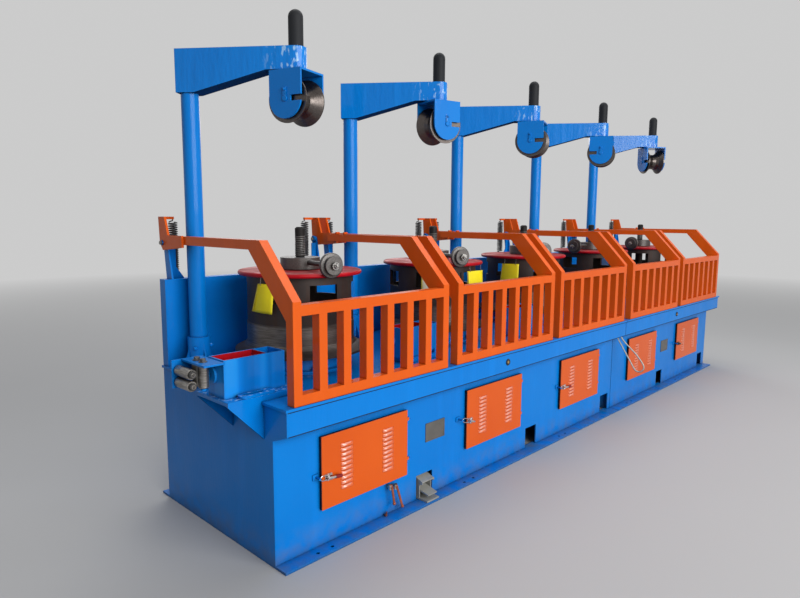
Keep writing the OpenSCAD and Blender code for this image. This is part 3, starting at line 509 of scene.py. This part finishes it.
class Shape:
    """Collects the surfaces of one piece."""

    def __init__(self):
        self.mesh = bmesh.new()

    def _turn(self, verts, origin, axis):
        """Turns new points from the upright onto an axis and moves them to its origin."""
        turn = Vector(axis).normalized().to_track_quat("Z", "Y").to_matrix().to_4x4()
        bmesh.ops.transform(self.mesh, matrix=Matrix.Translation(origin) @ turn, verts=verts)

    def box(self, low, high, bevel=0.0):
        """Block between two corners, with its edges rounded off."""
        low, high = Vector(low), Vector(high)
        made = bmesh.ops.create_cube(self.mesh, size=1.0)["verts"]
        bmesh.ops.scale(self.mesh, vec=high - low, verts=made)
        bmesh.ops.translate(self.mesh, vec=(low + high) / 2, verts=made)
        if bevel:
            edges = list({edge for vert in made for edge in vert.link_edges})
            bmesh.ops.bevel(self.mesh, geom=edges, offset=bevel, segments=2, affect="EDGES", profile=0.6)

    def lathe(self, profile, origin, axis=(0, 0, 1), steps=28, phase=0.0):
        """Turns (radius, height) points round the axis; a radius of 0 closes an end."""
        rings = []
        for radius, height in profile:
            if radius < 1e-6:
                rings.append([self.mesh.verts.new((0, 0, height))])
            else:
                angles = [phase + 2 * math.pi * k / steps for k in range(steps)]
                rings.append([self.mesh.verts.new((radius * math.cos(a), radius * math.sin(a), height))
                              for a in angles])
        for low, high in zip(rings, rings[1:]):
            for k in range(steps):
                after = (k + 1) % steps
                corners = [low[k % len(low)], low[after % len(low)],
                           high[after % len(high)], high[k % len(high)]]
                corners = [c for n, c in enumerate(corners) if c not in corners[:n]]
                if len(corners) > 2:
                    self.mesh.faces.new(corners)
        self._turn([vert for ring in rings for vert in ring], origin, axis)

    def rod(self, start, end, radius, steps=14):
        """Round bar with chamfered ends."""
        start, end = Vector(start), Vector(end)
        length = (end - start).length
        edge = min(radius * 0.2, 0.0015)
        self.lathe([(0, 0), (radius - edge, 0), (radius, edge), (radius, length - edge),
                    (radius - edge, length), (0, length)], start, end - start, steps)

    def hose(self, points, radius, steps=10):
        """Round section along a line of points, closed at both ends."""
        points = [Vector(p) for p in points]
        rings, side = [], None
        for k, point in enumerate(points):
            ahead = (points[min(k + 1, len(points) - 1)] - points[max(k - 1, 0)]).normalized()
            side = ahead.orthogonal() if side is None else side - ahead * side.dot(ahead)
            side.normalize()
            up = ahead.cross(side)
            rings.append([self.mesh.verts.new(point + radius * (side * math.cos(a) + up * math.sin(a)))
                          for a in (2 * math.pi * n / steps for n in range(steps))])
        for low, high in zip(rings, rings[1:]):
            for k in range(steps):
                self.mesh.faces.new([low[k], low[(k + 1) % steps], high[(k + 1) % steps], high[k]])
        self.mesh.faces.new(list(reversed(rings[0])))
        self.mesh.faces.new(rings[-1])

    def coil(self, low, high, radius, wire, turns, steps=14):
        """Helical spring between two points on one line."""
        low, high = Vector(low), Vector(high)
        axis = (high - low).normalized()
        side = axis.orthogonal().normalized()
        up = axis.cross(side)
        count = int(turns * steps)
        points = []
        for k in range(count + 1):
            share = k / count
            # Closed end turns, open turns between them
            rise = share + 0.018 * math.sin(2 * math.pi * share)
            angle = 2 * math.pi * turns * share
            out = side * math.cos(angle) + up * math.sin(angle)
            points.append(low + (high - low) * rise + radius * out)
        self.hose(points, wire, 7)

    def bolt(self, at, axis, flats, washer=True, stud=0.006):
        """Hex head or nut on a face, with its washer and the end of the stud."""
        at, axis = Vector(at), Vector(axis).normalized()
        radius = flats / math.sqrt(3)
        base = 0.0
        if washer:
            self.lathe([(0, 0), (flats * 0.82, 0), (flats * 0.82, 0.0026), (flats * 0.78, 0.003),
                        (0, 0.003)], at, axis, 20)
            base = 0.003
        head = flats * 0.55
        self.lathe([(0, base), (radius, base), (radius, base + head * 0.86), (radius * 0.86, base + head),
                    (0, base + head)], at, axis, 6, rng.uniform(0, 1))
        if stud:
            tip = base + head + stud
            self.lathe([(0, base + head), (flats * 0.27, base + head), (flats * 0.27, tip - 0.001),
                        (flats * 0.2, tip), (0, tip)], at, axis, 12)

    def sheet(self, columns, rows, point):
        """Curved sheet through the places that point gives for shares along and up it."""
        grid = [[self.mesh.verts.new(point(a / columns, b / rows)) for a in range(columns + 1)]
                for b in range(rows + 1)]
        for under, over in zip(grid, grid[1:]):
            for k in range(columns):
                self.mesh.faces.new([under[k], under[k + 1], over[k + 1], over[k]])

    def make(self, name, body, finish, slot, place=None):
        """Turns the collected surfaces into a piece that rides on a body."""
        if place:
            bmesh.ops.transform(self.mesh, matrix=place, verts=self.mesh.verts)
        bmesh.ops.recalc_face_normals(self.mesh, faces=self.mesh.faces)
        for face in self.mesh.faces:
            face.smooth = True
        for edge in self.mesh.edges:
            if len(edge.link_faces) == 2 and edge.calc_face_angle(0) > math.radians(34):
                edge.smooth = False
        data = bpy.data.meshes.new(name)
        self.mesh.to_mesh(data)
        self.mesh.free()
        data.materials.append(finish)
        piece = bpy.data.objects.new(name, data)
        bpy.context.scene.collection.objects.link(piece)
        if body:
            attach(piece, body)
        return piece


# Hose at the seam

SEAM_X = 0.514
HOSE_R = 0.0055
# Points of the hose's route, in millimetres across and up
HOSE_YZ = [(-66, 636), (-66, 620), (-72, 602), (-90, 578), (-118, 553), (-150, 527), (-182, 500),
           (-213, 470), (-240, 437), (-258, 412), (-264, 392), (-261, 375), (-251, 362), (-238, 353),
           (-222, 350), (-206, 353), (-192, 362), (-178, 381), (-158, 416), (-131, 456), (-101, 501),
           (-71, 547), (-49, 580), (-39, 602), (-36, 620), (-36, 636)]


def eased(points, parts=4):
    """Smooth line that follows the points and starts and ends on them."""
    ends = [points[0]] * 2 + points + [points[-1]] * 2
    line = []
    for a, b, c, d in zip(ends, ends[1:], ends[2:], ends[3:]):
        for t in (k / parts for k in range(parts)):
            line.append((a * (1 - t) ** 3 + b * (3 * t ** 3 - 6 * t ** 2 + 4)
                         + c * (1 + 3 * t + 3 * t ** 2 - 3 * t ** 3) + d * t ** 3) / 6)
    return [p for p, q in zip(line, line[1:]) if (p - q).length > 1e-5] + [points[-1]]


def seam_hose():
    """Hose that hangs out of the seam in one loop and goes back in."""
    line = eased([Vector((SEAM_X, y / 1000, z / 1000)) for y, z in HOSE_YZ])
    curve = bpy.data.curves.new("seam_hose", "CURVE")
    curve.dimensions, curve.bevel_depth, curve.bevel_resolution = "3D", HOSE_R, 4
    curve.use_fill_caps = True
    spline = curve.splines.new("POLY")
    spline.points.add(len(line) - 1)
    for point, place in zip(spline.points, line):
        point.co = (*place, 1)
    spline.use_smooth = True
    curve.materials.append(hose_grey)
    piece = bpy.data.objects.new("seam_hose", curve)
    bpy.context.scene.collection.objects.link(piece)
    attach(piece, "machine")
    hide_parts("hose_loop")


seam_hose()

# Doors: louvres and latches

LOUVRE_W, LOUVRE_PITCH, LOUVRE_COUNT = 0.073, 0.023, 10
LOUVRE_XS = (0.116, DOOR_W - 0.180)
LOUVRE_LOW_Z = DOOR_Z + DOOR_H / 2 - (LOUVRE_COUNT - 1) * LOUVRE_PITCH / 2
HOOD_PAST_SLOT = 0.003
HOOD_BELOW_SLOT = 0.0045
HOOD_W, HOOD_H, HOOD_DEEP = LOUVRE_W + 2 * HOOD_PAST_SLOT, 0.0175, 0.0095
HOOD_LEFT_SLOPE, HOOD_RIGHT_SLOPE = 0.48, 0.2
HOOD_COLUMNS, HOOD_ROWS = 10, 7


def hood_point(left, low, a, b):
    """Place on a hood: a goes from its left end to its right, b from its open edge up."""
    ends = math.sin(math.pi * min(1.0, a / HOOD_LEFT_SLOPE, (1 - a) / HOOD_RIGHT_SLOPE) / 2) ** 0.9
    bulge = HOOD_DEEP * ends * math.cos(b * math.pi / 2) ** 0.75
    return left + a * HOOD_W, DOOR_FACE_Y - 0.0002 - bulge, low + b * HOOD_H


def thicken(piece, body, thickness):
    """Gives a one-sided sheet its thickness and lets it ride on a body."""
    sheet = piece.modifiers.new("sheet", "SOLIDIFY")
    sheet.thickness, sheet.offset = thickness, -1.0
    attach(piece, body)


def louvres(number):
    """Pressed hoods over the door's slots, open at their lower edge."""
    shape = Shape()
    for column in LOUVRE_XS:
        left = block_x(number) + DOOR_X + column - HOOD_PAST_SLOT
        for row in range(LOUVRE_COUNT):
            low = LOUVRE_LOW_Z + row * LOUVRE_PITCH - HOOD_BELOW_SLOT
            shape.sheet(HOOD_COLUMNS, HOOD_ROWS, lambda a, b: hood_point(left, low, a, b))
    piece = shape.make(f"door_{number}_louvres", None, louvre_orange, "orange_paint")
    thicken(piece, f"door_{number}", 0.0012)


# Of each latch: how far its loop is pushed aside, its height, its droop in degrees, its place from
# the door's left edge, and where its red tip ends (0 for no tip)
LATCHES = {1: (0.0, 0.347, -9.0, 0.030, 0.106), 2: (-0.030, 0.362, -16.0, 0.018, 0.0),
           3: (-0.004, 0.350, -6.0, 0.030, 0.112), 5: (0.0, 0.350, -8.0, 0.030, 0.0)}
LATCH_PLATE_LOW, LATCH_PLATE_HIGH, LATCH_PLATE_H = 0.016, 0.058, 0.028
LATCH_PIVOT = 0.030
LOOP_PAST, LOOP_R, LOOP_WIRE = 0.006, 0.0115, 0.0022
LOOP_STEPS = 16


def latch(number):
    """Toggle latch: a spring loop hooked over a catch on the wall, with a lever on the door."""
    shift, z, droop, inset, tip_end = LATCHES[number]
    left = block_x(number) + DOOR_X + inset - LATCH_PIVOT
    pivot = Vector((left + LATCH_PIVOT, DOOR_FACE_Y, z))
    droop = math.radians(droop)

    def at(x, y, up):
        """Point given along, out from and above the latch's own line, which droops to the right."""
        x += 0.0 if x > 0.028 else shift * (0.028 - x) / 0.046
        ahead = x - LATCH_PIVOT
        return pivot + Vector((ahead * math.cos(droop) - up * math.sin(droop), -y,
                               ahead * math.sin(droop) + up * math.cos(droop)))

    metal = Shape()
    face = DOOR_FACE_Y - 0.004
    metal.box((left + LATCH_PLATE_LOW, face, z - LATCH_PLATE_H / 2),
              (left + LATCH_PLATE_HIGH, DOOR_FACE_Y, z + LATCH_PLATE_H / 2), 0.001)
    for side in (-1, 1):
        metal.hose([at(0.022, 0.010, side * 0.011), at(0.052, 0.010, side * 0.011)], 0.0035, 6)
        metal.bolt((left + 0.037, face, z + side * 0.0105), (0, -1, 0), 0.005, False, 0.0)
    metal.rod(at(LATCH_PIVOT, 0.013, -0.015), at(LATCH_PIVOT, 0.013, 0.015), 0.0036)
    lever_end = tip_end - 0.034 if tip_end else 0.064
    metal.hose([at(0.024, 0.017, 0), at(0.046, 0.021, 0), at(lever_end, 0.017, 0)], 0.0065, 10)
    loop = [at(LATCH_PIVOT, 0.013, LOOP_R)]
    for k in range(LOOP_STEPS + 1):
        angle = math.pi * k / LOOP_STEPS
        loop.append(at(-LOOP_PAST - 2 * LOOP_PAST * math.sin(angle), 0.013, LOOP_R * math.cos(angle)))
    metal.hose(loop + [at(LATCH_PIVOT, 0.013, -LOOP_R)], LOOP_WIRE, 8)
    finish = dark_steel if number == 5 else chrome
    metal.make(f"door_{number}_latch", f"door_{number}", finish, "bare_steel")
    if tip_end:
        tip = Shape()
        tip.hose([at(tip_end - 0.038, 0.0172, 0), at(tip_end, 0.0155, 0)], 0.0085, 12)
        tip.make(f"door_{number}_latch_tip", f"door_{number}", dark_red, "valve_red")
    catch = Shape()
    foot = at(-0.018, 0.0, 0)
    catch.box((foot.x - 0.024, -0.005, foot.z - 0.013), (foot.x + 0.010, 0.0, foot.z + 0.013), 0.001)
    catch.hose([(foot.x - 0.004, -0.004, foot.z), (foot.x - 0.003, -0.030, foot.z),
                (foot.x - 0.010, -0.040, foot.z)], 0.0052, 8)
    catch.make(f"door_{number}_latch_catch", "machine", blue_enamel, "blue_paint")


for number in BLOCKS:
    louvres(number)
    if number in LATCHES:
        latch(number)

# Guards: springs and tabs

SPRING_Y, SPRING_LOW_Z, SPRING_HIGH_Z = PIVOT_Y + 0.029, 1.246, 1.506
SPRING_R, SPRING_WIRE, SPRING_TURNS = 0.0215, 0.0036, 24
SPRING_INSET = 0.062
TAB_YS, TAB_LOW_Z, TAB_HIGH_Z = (0.686, 0.758), 1.4365, 1.449
TAB_INSET, TAB_LENGTH, TAB_W = 0.040, 0.026, 0.014


def guard_springs(number):
    """Coils of both springs of a guard, hooked at each end."""
    shape = Shape()
    y, r = SPRING_Y, SPRING_R
    for x in (GUARD_X + SPRING_INSET, GUARD_X + GUARD_W - SPRING_INSET):
        at = block_x(number) + x
        shape.coil((at, y, SPRING_LOW_Z), (at, y, SPRING_HIGH_Z), r, SPRING_WIRE, SPRING_TURNS)
        for z, out in ((SPRING_LOW_Z, -1), (SPRING_HIGH_Z, 1)):
            shape.hose([(at, y, z + out * 0.018), (at, y, z + out * 0.009),
                        (at - r * 0.65, y, z + out * 0.005), (at - r, y, z)], SPRING_WIRE, 8)
    piece = shape.make(f"guard_{number}_springs", None, black_paint, "black_steel")
    x = block_x(number) + GUARD_X
    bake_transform(piece)
    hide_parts("guard_springs")


def guard_tabs(number):
    """Small lugs on top of the guard's right side tube."""
    tabs = Shape()
    x = block_x(number) + GUARD_X + GUARD_W - TAB_INSET
    for y in TAB_YS:
        tabs.box((x, y - TAB_W / 2, TAB_LOW_Z), (x + TAB_LENGTH, y + TAB_W / 2, TAB_HIGH_Z), 0.001)
    tabs.make(f"guard_{number}_tabs", f"guard_{number}", orange_enamel, "orange_paint")


for number in BLOCKS:
    guard_springs(number)
    guard_tabs(number)

# Plates, bolts and cards


def spot(x, y, turn=0.0):
    """Place with its own X axis turned about the upright."""
    return Matrix.Translation((x, y, 0)) @ Matrix.Rotation(turn, 4, "Z")


PLATE_X, PLATE_LOW_Z, PLATE_W, PLATE_H = 0.985, 0.319, 0.160, 0.104
PLATE_RIM, RIVET_INSET = 0.004, 0.011


def nameplate(number):
    """Bare plate with a raised rim, held by four rivets."""
    left, low = block_x(number) + PLATE_X, PLATE_LOW_Z
    plate = Shape()
    plate.box((left, -0.0020, low), (left + PLATE_W, 0.0, low + PLATE_H), 0.0006)
    for rise in (0.0, PLATE_H - PLATE_RIM):
        plate.box((left, -0.0034, low + rise), (left + PLATE_W, -0.0016, low + rise + PLATE_RIM), 0.0005)
    for along in (0.0, PLATE_W - PLATE_RIM):
        plate.box((left + along, -0.0034, low), (left + along + PLATE_RIM, -0.0016, low + PLATE_H), 0.0005)
    for along in (RIVET_INSET, PLATE_W - RIVET_INSET):
        for rise in (RIVET_INSET, PLATE_H - RIVET_INSET):
            plate.lathe([(0.0036, 0), (0.0036, 0.001), (0.0022, 0.0024), (0, 0.0028)],
                        (left + along, -0.0018, low + rise), (0, -1, 0), 12)
    plate.make(f"nameplate_{number}", "machine", plate_grey, "grey_metal")


def grommet(name, x, z):
    """Rubber grommet with a brass bush in the ledge's face."""
    ring = Shape()
    ring.lathe([(0.0085, 0), (0.019, 0), (0.020, 0.002), (0.018, 0.0055), (0.013, 0.007), (0.0085, 0.005)],
               (x, LEDGE_FACE_Y, z), (0, -1, 0), 24)
    ring.make(f"{name}_ring", "machine", black_rubber, "black_steel")
    bush = Shape()
    bush.lathe([(0.0086, 0), (0.0086, 0.0045), (0.0066, 0.0055), (0.005, 0.0035), (0, 0.003)],
               (x, LEDGE_FACE_Y, z), (0, -1, 0), 20)
    bush.make(f"{name}_bush", "machine", brass, "bare_steel")


SET_SCREW_TURNS = (-135, -15, 105)
SOCKET_R, SET_SCREW_Z = 0.0568, 0.853
SOCKET_BOLT_REACH, SOCKET_FOOT_H = 0.074, 0.012
PEDESTAL_BOLTS, PEDESTAL_BOLT_R, PEDESTAL_FOOT_H = 8, 0.253, 0.016
BOX_BOLT_XS, BOX_BOLT_Y, BOX_FOOT_H = (-0.105, 0.110), 0.111, 0.027
UP = (0, 0, 1)


def frame_bolts(number):
    """Painted bolts of one block: the socket's set screws and feet, the pedestal and the die box."""
    left = block_x(number)
    bolts = Shape()
    for turn in SET_SCREW_TURNS:
        out = Vector((math.cos(math.radians(turn)), math.sin(math.radians(turn)), 0))
        bolts.bolt(Vector((left + POST_X, POST_Y, SET_SCREW_Z)) + out * SOCKET_R, out, 0.019, False, 0.008)
    for x in (-SOCKET_BOLT_REACH, SOCKET_BOLT_REACH):
        for y in (-SOCKET_BOLT_REACH, SOCKET_BOLT_REACH):
            bolts.bolt((left + POST_X + x, POST_Y + y, TABLE_Z + SOCKET_FOOT_H), UP, 0.019)
    for k in range(PEDESTAL_BOLTS):
        turn = math.radians(22.5 + 45 * k)
        bolts.bolt((left + DRUM_X + PEDESTAL_BOLT_R * math.cos(turn),
                    DRUM_Y + PEDESTAL_BOLT_R * math.sin(turn), TABLE_Z + PEDESTAL_FOOT_H), UP, 0.021)
    if number > 1:
        for x in BOX_BOLT_XS:
            bolts.bolt((left + x, BOX_BOLT_Y, TABLE_Z + BOX_FOOT_H), UP, 0.021)
    bolts.make(f"frame_bolts_{number}", "machine", highlit_blue, "blue_paint")


def pivot_bolts(number):
    """Hex heads on the guard's pivot pins, and their blue bosses on the brackets' inner faces."""
    heads, bosses = Shape(), Shape()
    for x, out in ((GUARD_X, 1), (GUARD_X + GUARD_W, -1)):
        x += block_x(number)
        heads.bolt((x - out * 0.018, PIVOT_Y, PIVOT_Z), (-out, 0, 0), 0.019, False, 0.0)
        bosses.lathe([(0, 0), (0.021, 0), (0.021, 0.006), (0.019, 0.008), (0, 0.008)],
                     (x + out * 0.012, PIVOT_Y, PIVOT_Z), (out, 0, 0), 24)
        heads.bolt((x + out * 0.020, PIVOT_Y, PIVOT_Z), (out, 0, 0), 0.018, False, 0.003)
    heads.make(f"pivot_bolts_{number}", "machine", bare_steel, "bare_steel")
    bosses.make(f"pivot_bosses_{number}", "machine", blue_enamel, "blue_paint")


def ledge_shadow_lines():
    """Strips of painted shadow along the ledge's joints: under the table plate and along the lower edge.
    """
    low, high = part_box("front_ledges")
    lines = Shape()
    for z, deep in ((TABLE_Z - 0.0115, 0.008), (low[2] + 0.0415, 0.004)):
        lines.box((low[0], LEDGE_FACE_Y - 0.0007, z - deep), (high[0], LEDGE_FACE_Y + 0.001, z))
    lines.make("ledge_shadow_lines", "machine", shadow_blue, "blue_paint")


def foot_bolt():
    """Rusty bolt that stands out of the base flange near the first door."""
    bolt = Shape()
    bolt.bolt((LEFT_X + 0.668, -0.014, 0.013), (0.25, -0.12, 1), 0.015, False, 0.014)
    bolt.make("foot_bolt", "machine", rust_red, "valve_red")


INLET_UPRIGHT_X, INLET_UPRIGHT_YS, INLET_UPRIGHT_Z = -0.208, (0.1885, 0.2395), 0.935
INLET_LEVEL_X, INLET_LEVEL_Y, INLET_LEVEL_ZS = -0.262, 0.173, (0.8395, 0.8905)


def inlet_fasteners():
    """Nuts on the upright rollers' axles; covers, rings and screws on the level rollers' ends."""
    left = block_x(1)
    nuts, covers, rings = Shape(), Shape(), Shape()
    for y in INLET_UPRIGHT_YS:
        nuts.bolt((left + INLET_UPRIGHT_X, y, INLET_UPRIGHT_Z), UP, 0.022, True, 0.0)
    for z in INLET_LEVEL_ZS:
        end = Vector((left + INLET_LEVEL_X, INLET_LEVEL_Y, z))
        covers.lathe([(0, -0.011), (0.0155, -0.011), (0.0155, 0.0005), (0.0142, 0.002), (0, 0.002)],
                     end, (0, -1, 0), 28)
        rings.lathe([(0.0062, 0.0015), (0.0098, 0.0015), (0.0098, 0.0035), (0.0088, 0.0045),
                     (0.0062, 0.0045)], end, (0, -1, 0), 24)
        nuts.bolt(end + Vector((0, -0.002, 0)), (0, -1, 0), 0.010, False, 0.002)
    nuts.make("inlet_nuts", "machine", dark_steel, "dark_steel")
    covers.make("inlet_covers", "machine", black_paint, "black_steel")
    rings.make("inlet_rings", "machine", bare_steel, "bare_steel")


SPINDLE_R, SPINDLE_WIRE, SPINDLE_TURNS = 0.0235, 0.0036, 11
FLYER_PIN = 0.014
CHEEK_FACE, KEEPER_T, KEEPER_W = 0.095, 0.005, 0.024
KEEPER_RISE = (0.011, 0.053)


def spindle_spring(number):
    """Coil spring that stands on the drum's spindle."""
    spring = Shape()
    low, high = SPINDLE_SPRING_Z
    spring.coil((0, 0, low), (0, 0, high), SPINDLE_R, SPINDLE_WIRE, SPINDLE_TURNS, 18)
    spring.make(f"drum_{number}_spring", f"drum_{number}", spring_steel, "black_steel",
                spot(block_x(number) + DRUM_X, DRUM_Y))


def flyer_nut(number):
    """Bright nut and stud at the flyer pulley's axle end."""
    nut = Shape()
    end = (PULLEY_IN + PULLEY_W + FLYER_PIN, 0, FLYER_AXLE_Z)
    nut.bolt(end, (1, 0, 0), 0.022, False, 0.009)
    nut.lathe([(0, 0), (0.019, 0), (0.019, 0.0022), (0, 0.0024)], end, (1, 0, 0), 20)
    nut.make(f"flyer_{number}_nut", f"flyer_{number}", nut_steel, "bare_steel",
             spot(block_x(number) + DRUM_X, DRUM_Y, FLYER_TURNS[number - 1]))


def axle_keepers(number):
    """Keeper plate with its screw on each of the fork's cheeks, over a ring round the axle's end."""
    keeper = Shape()
    for side in (-1, 1):
        x = side * CHEEK_FACE
        low, high = sorted((x, x + side * KEEPER_T))
        keeper.box((low, -KEEPER_W / 2, HEAD_Z + KEEPER_RISE[0]),
                   (high, KEEPER_W / 2, HEAD_Z + KEEPER_RISE[1]), 0.0012)
        keeper.bolt((x + side * KEEPER_T, 0, HEAD_Z + 0.042), (side, 0, 0), 0.012, False, 0.002)
        keeper.lathe([(0.0155, 0), (0.0155, 0.004), (0.0125, 0.006)], (x, 0, HEAD_Z), (side, 0, 0), 20)
    reach = Vector((math.cos(ARM_TURN), math.sin(ARM_TURN))) * ARM_REACH
    keeper.make(f"fork_{number}_keepers", f"fork_{number}", fork_blue, "blue_paint",
                spot(block_x(number) + POST_X + reach.x, POST_Y + reach.y, FORK_TURNS[number - 1]))


CARD_REACH, CARD_STEPS = 0.298, 9


def card(name, number, facing, along, low, high, lean, finish):
    """Sheet card that hangs on the drum's flange by two hooks, with a worn spine along one side."""
    start, end = along

    def board(a, b):
        """Place on the card: a goes along it, b from its lower edge up."""
        y = start + (end - start) * a - lean * (1 - b) * (1 - 0.7 * a)
        bow = 0.007 * math.sin(math.pi * a) + 0.006 * (1 - b) ** 2 * a
        return CARD_REACH + bow, y, low + (high - low) * b - 0.006 * a * (1 - b)

    place = spot(block_x(number) + DRUM_X, DRUM_Y, math.radians(facing))
    shape = Shape()
    shape.sheet(CARD_STEPS, CARD_STEPS, board)
    piece = shape.make(name, None, finish, None, place)
    thicken(piece, f"drum_{number}", 0.0025)
    trim = Shape()
    trim.hose([(0.300, start + 0.004, high - 0.004),
               (0.3015, start + 0.004 - lean * 0.5, (low + high) / 2),
               (0.302, start + 0.002 - lean, low + 0.002)], 0.0032, 6)
    trim.make(f"{name}_spine", f"drum_{number}", card_edge, None, place)
    hooks = Shape()
    for y in (start + 0.022, end - 0.022):
        hooks.hose([(0.2995, y, high - 0.014), (0.306, y, high - 0.002), (0.303, y, high + 0.012),
                    (0.300, y, FLANGE_Z + 0.0005)], 0.0012, 6)
    hooks.make(f"{name}_hooks", f"drum_{number}", bare_steel, "bare_steel", place)


nameplate(1)
nameplate(4)
grommet("left_grommet", LEFT_X + 1.608, 0.682)
grommet("right_grommet", LEFT_X + 4.322, 0.680)
inlet_fasteners()
foot_bolt()
ledge_shadow_lines()
for number in BLOCKS:
    frame_bolts(number)
    pivot_bolts(number)
    flyer_nut(number)
    spindle_spring(number)
    axle_keepers(number)
card("card_1", 1, -164, (-0.038, 0.062), 1.066, 1.208, 0.037, card_yellow)
card("card_2", 2, -92, (-0.002, 0.148), 1.072, 1.207, -0.010, card_yellow)
card("card_3", 3, -164, (-0.068, 0.062), 1.076, 1.203, 0.010, card_yellow)
card("card_4", 2, -146, (-0.034, 0.100), 1.060, 1.192, 0.0, card_pale)

# Studio, camera and lights

BACKDROP = 0.60
FLOOR_BOUNCE, FLOOR_SEEN = (0.27, 0.27, 0.27), (0.52, 0.52, 0.525)
FLOOR_FADE = (5.0, 15.0)
CAMERA_PLACE = (-4.184, -2.146, 1.534)
CAMERA_LENS_MM, CAMERA_SENSOR_MM = 27.72, 36.0


def grey(level):
    """Grey of one level."""
    return level, level, level


def studio_floor(backdrop):
    """Pale floor that keeps the machine's shadow and fades into the backdrop far out."""
    look = Look("studio_floor", Roughness=0.8, Specular_IOR_Level=0.2)
    seen = look.seen_directly()
    look.set(Base_Color=look.blend(seen, FLOOR_BOUNCE, FLOOR_SEEN))
    along, across = look.axis("X"), look.axis("Y")
    far = ((along * along + across * across) ** 0.5).over(*FLOOR_FADE)
    own = Value(look, look.shader.outputs[0])
    pale = look.add("ShaderNodeEmission", {}, {"Color": grey(backdrop)})
    faded = look.add("ShaderNodeMixShader", {}, {0: far * seen, 1: own, 2: pale})
    look.join(look.tree.nodes["Material Output"].inputs["Surface"], faded)
    bpy.ops.mesh.primitive_plane_add(size=60.0, location=(0, 0, 0))
    floor = bpy.context.object
    floor.name = "studio_floor"
    floor.data.materials.append(look.material)


def studio_world(ambient, backdrop):
    """Even light from all round, and a pale backdrop."""
    world = bpy.data.worlds.new("studio")
    bpy.context.scene.world = world
    world.use_nodes = True
    sky = Nodes(world.node_tree)
    sky.tree.nodes.remove(sky.tree.nodes["Background"])
    light = sky.add("ShaderNodeBackground", {}, {"Color": (0.93, 0.96, 1.0), "Strength": ambient})
    pale = sky.add("ShaderNodeBackground", {}, {"Color": grey(backdrop)})
    shown = sky.add("ShaderNodeMixShader", {}, {0: sky.seen_directly(), 1: light, 2: pale})
    sky.join(sky.tree.nodes["World Output"].inputs["Surface"], shown)


def soft_lamp(name, place, target, size, watts, colour=(1, 1, 1)):
    """Broad lamp that faces a target."""
    lamp = bpy.data.lights.new(name, "AREA")
    lamp.shape, lamp.size, lamp.size_y = "RECTANGLE", size[0], size[1]
    lamp.energy, lamp.color = watts, colour
    holder = bpy.data.objects.new(name, lamp)
    holder.location = place
    holder.rotation_euler = (Vector(target) - Vector(place)).to_track_quat("-Z", "Y").to_euler()
    bpy.context.scene.collection.objects.link(holder)


def photo_camera():
    """The photograph's view, found from the machine's straight edges."""
    yaw, pitch, roll = math.radians(43.92), math.radians(-7.46), 0.0058
    ahead = Vector((math.cos(yaw) * math.cos(pitch), math.sin(yaw) * math.cos(pitch), math.sin(pitch)))
    right = Vector((math.sin(yaw), -math.cos(yaw), 0))
    up = right.cross(ahead)
    right, up = (right * math.cos(roll) + up * math.sin(roll),
                 up * math.cos(roll) - right * math.sin(roll))
    camera = bpy.data.cameras.new("photo_camera")
    camera.lens, camera.sensor_width = CAMERA_LENS_MM, CAMERA_SENSOR_MM
    camera.sensor_fit = "HORIZONTAL"
    camera.clip_end = 200.0
    holder = bpy.data.objects.new("photo_camera", camera)
    turn = Matrix((right, up, -ahead)).transposed().to_4x4()
    holder.matrix_world = Matrix.Translation(CAMERA_PLACE) @ turn
    bpy.context.scene.collection.objects.link(holder)
    bpy.context.scene.camera = holder


studio_floor(BACKDROP)
studio_world(0.21, BACKDROP)
soft_lamp("window_light", (-2.0, -8.7, 3.8), (0, 0, 1.2), (9.0, 4.5), 895, (1.0, 0.99, 0.97))
soft_lamp("roof_light", (1.0, 1.0, 7.5), (0.3, 0.3, 0.5), (9.0, 4.0), 280)
soft_lamp("rear_light", (4.5, 7.5, 5.0), (0, 0.6, 1.0), (6.0, 4.0), 160)
photo_camera()
bpy.context.scene.view_settings.view_transform = "Standard"
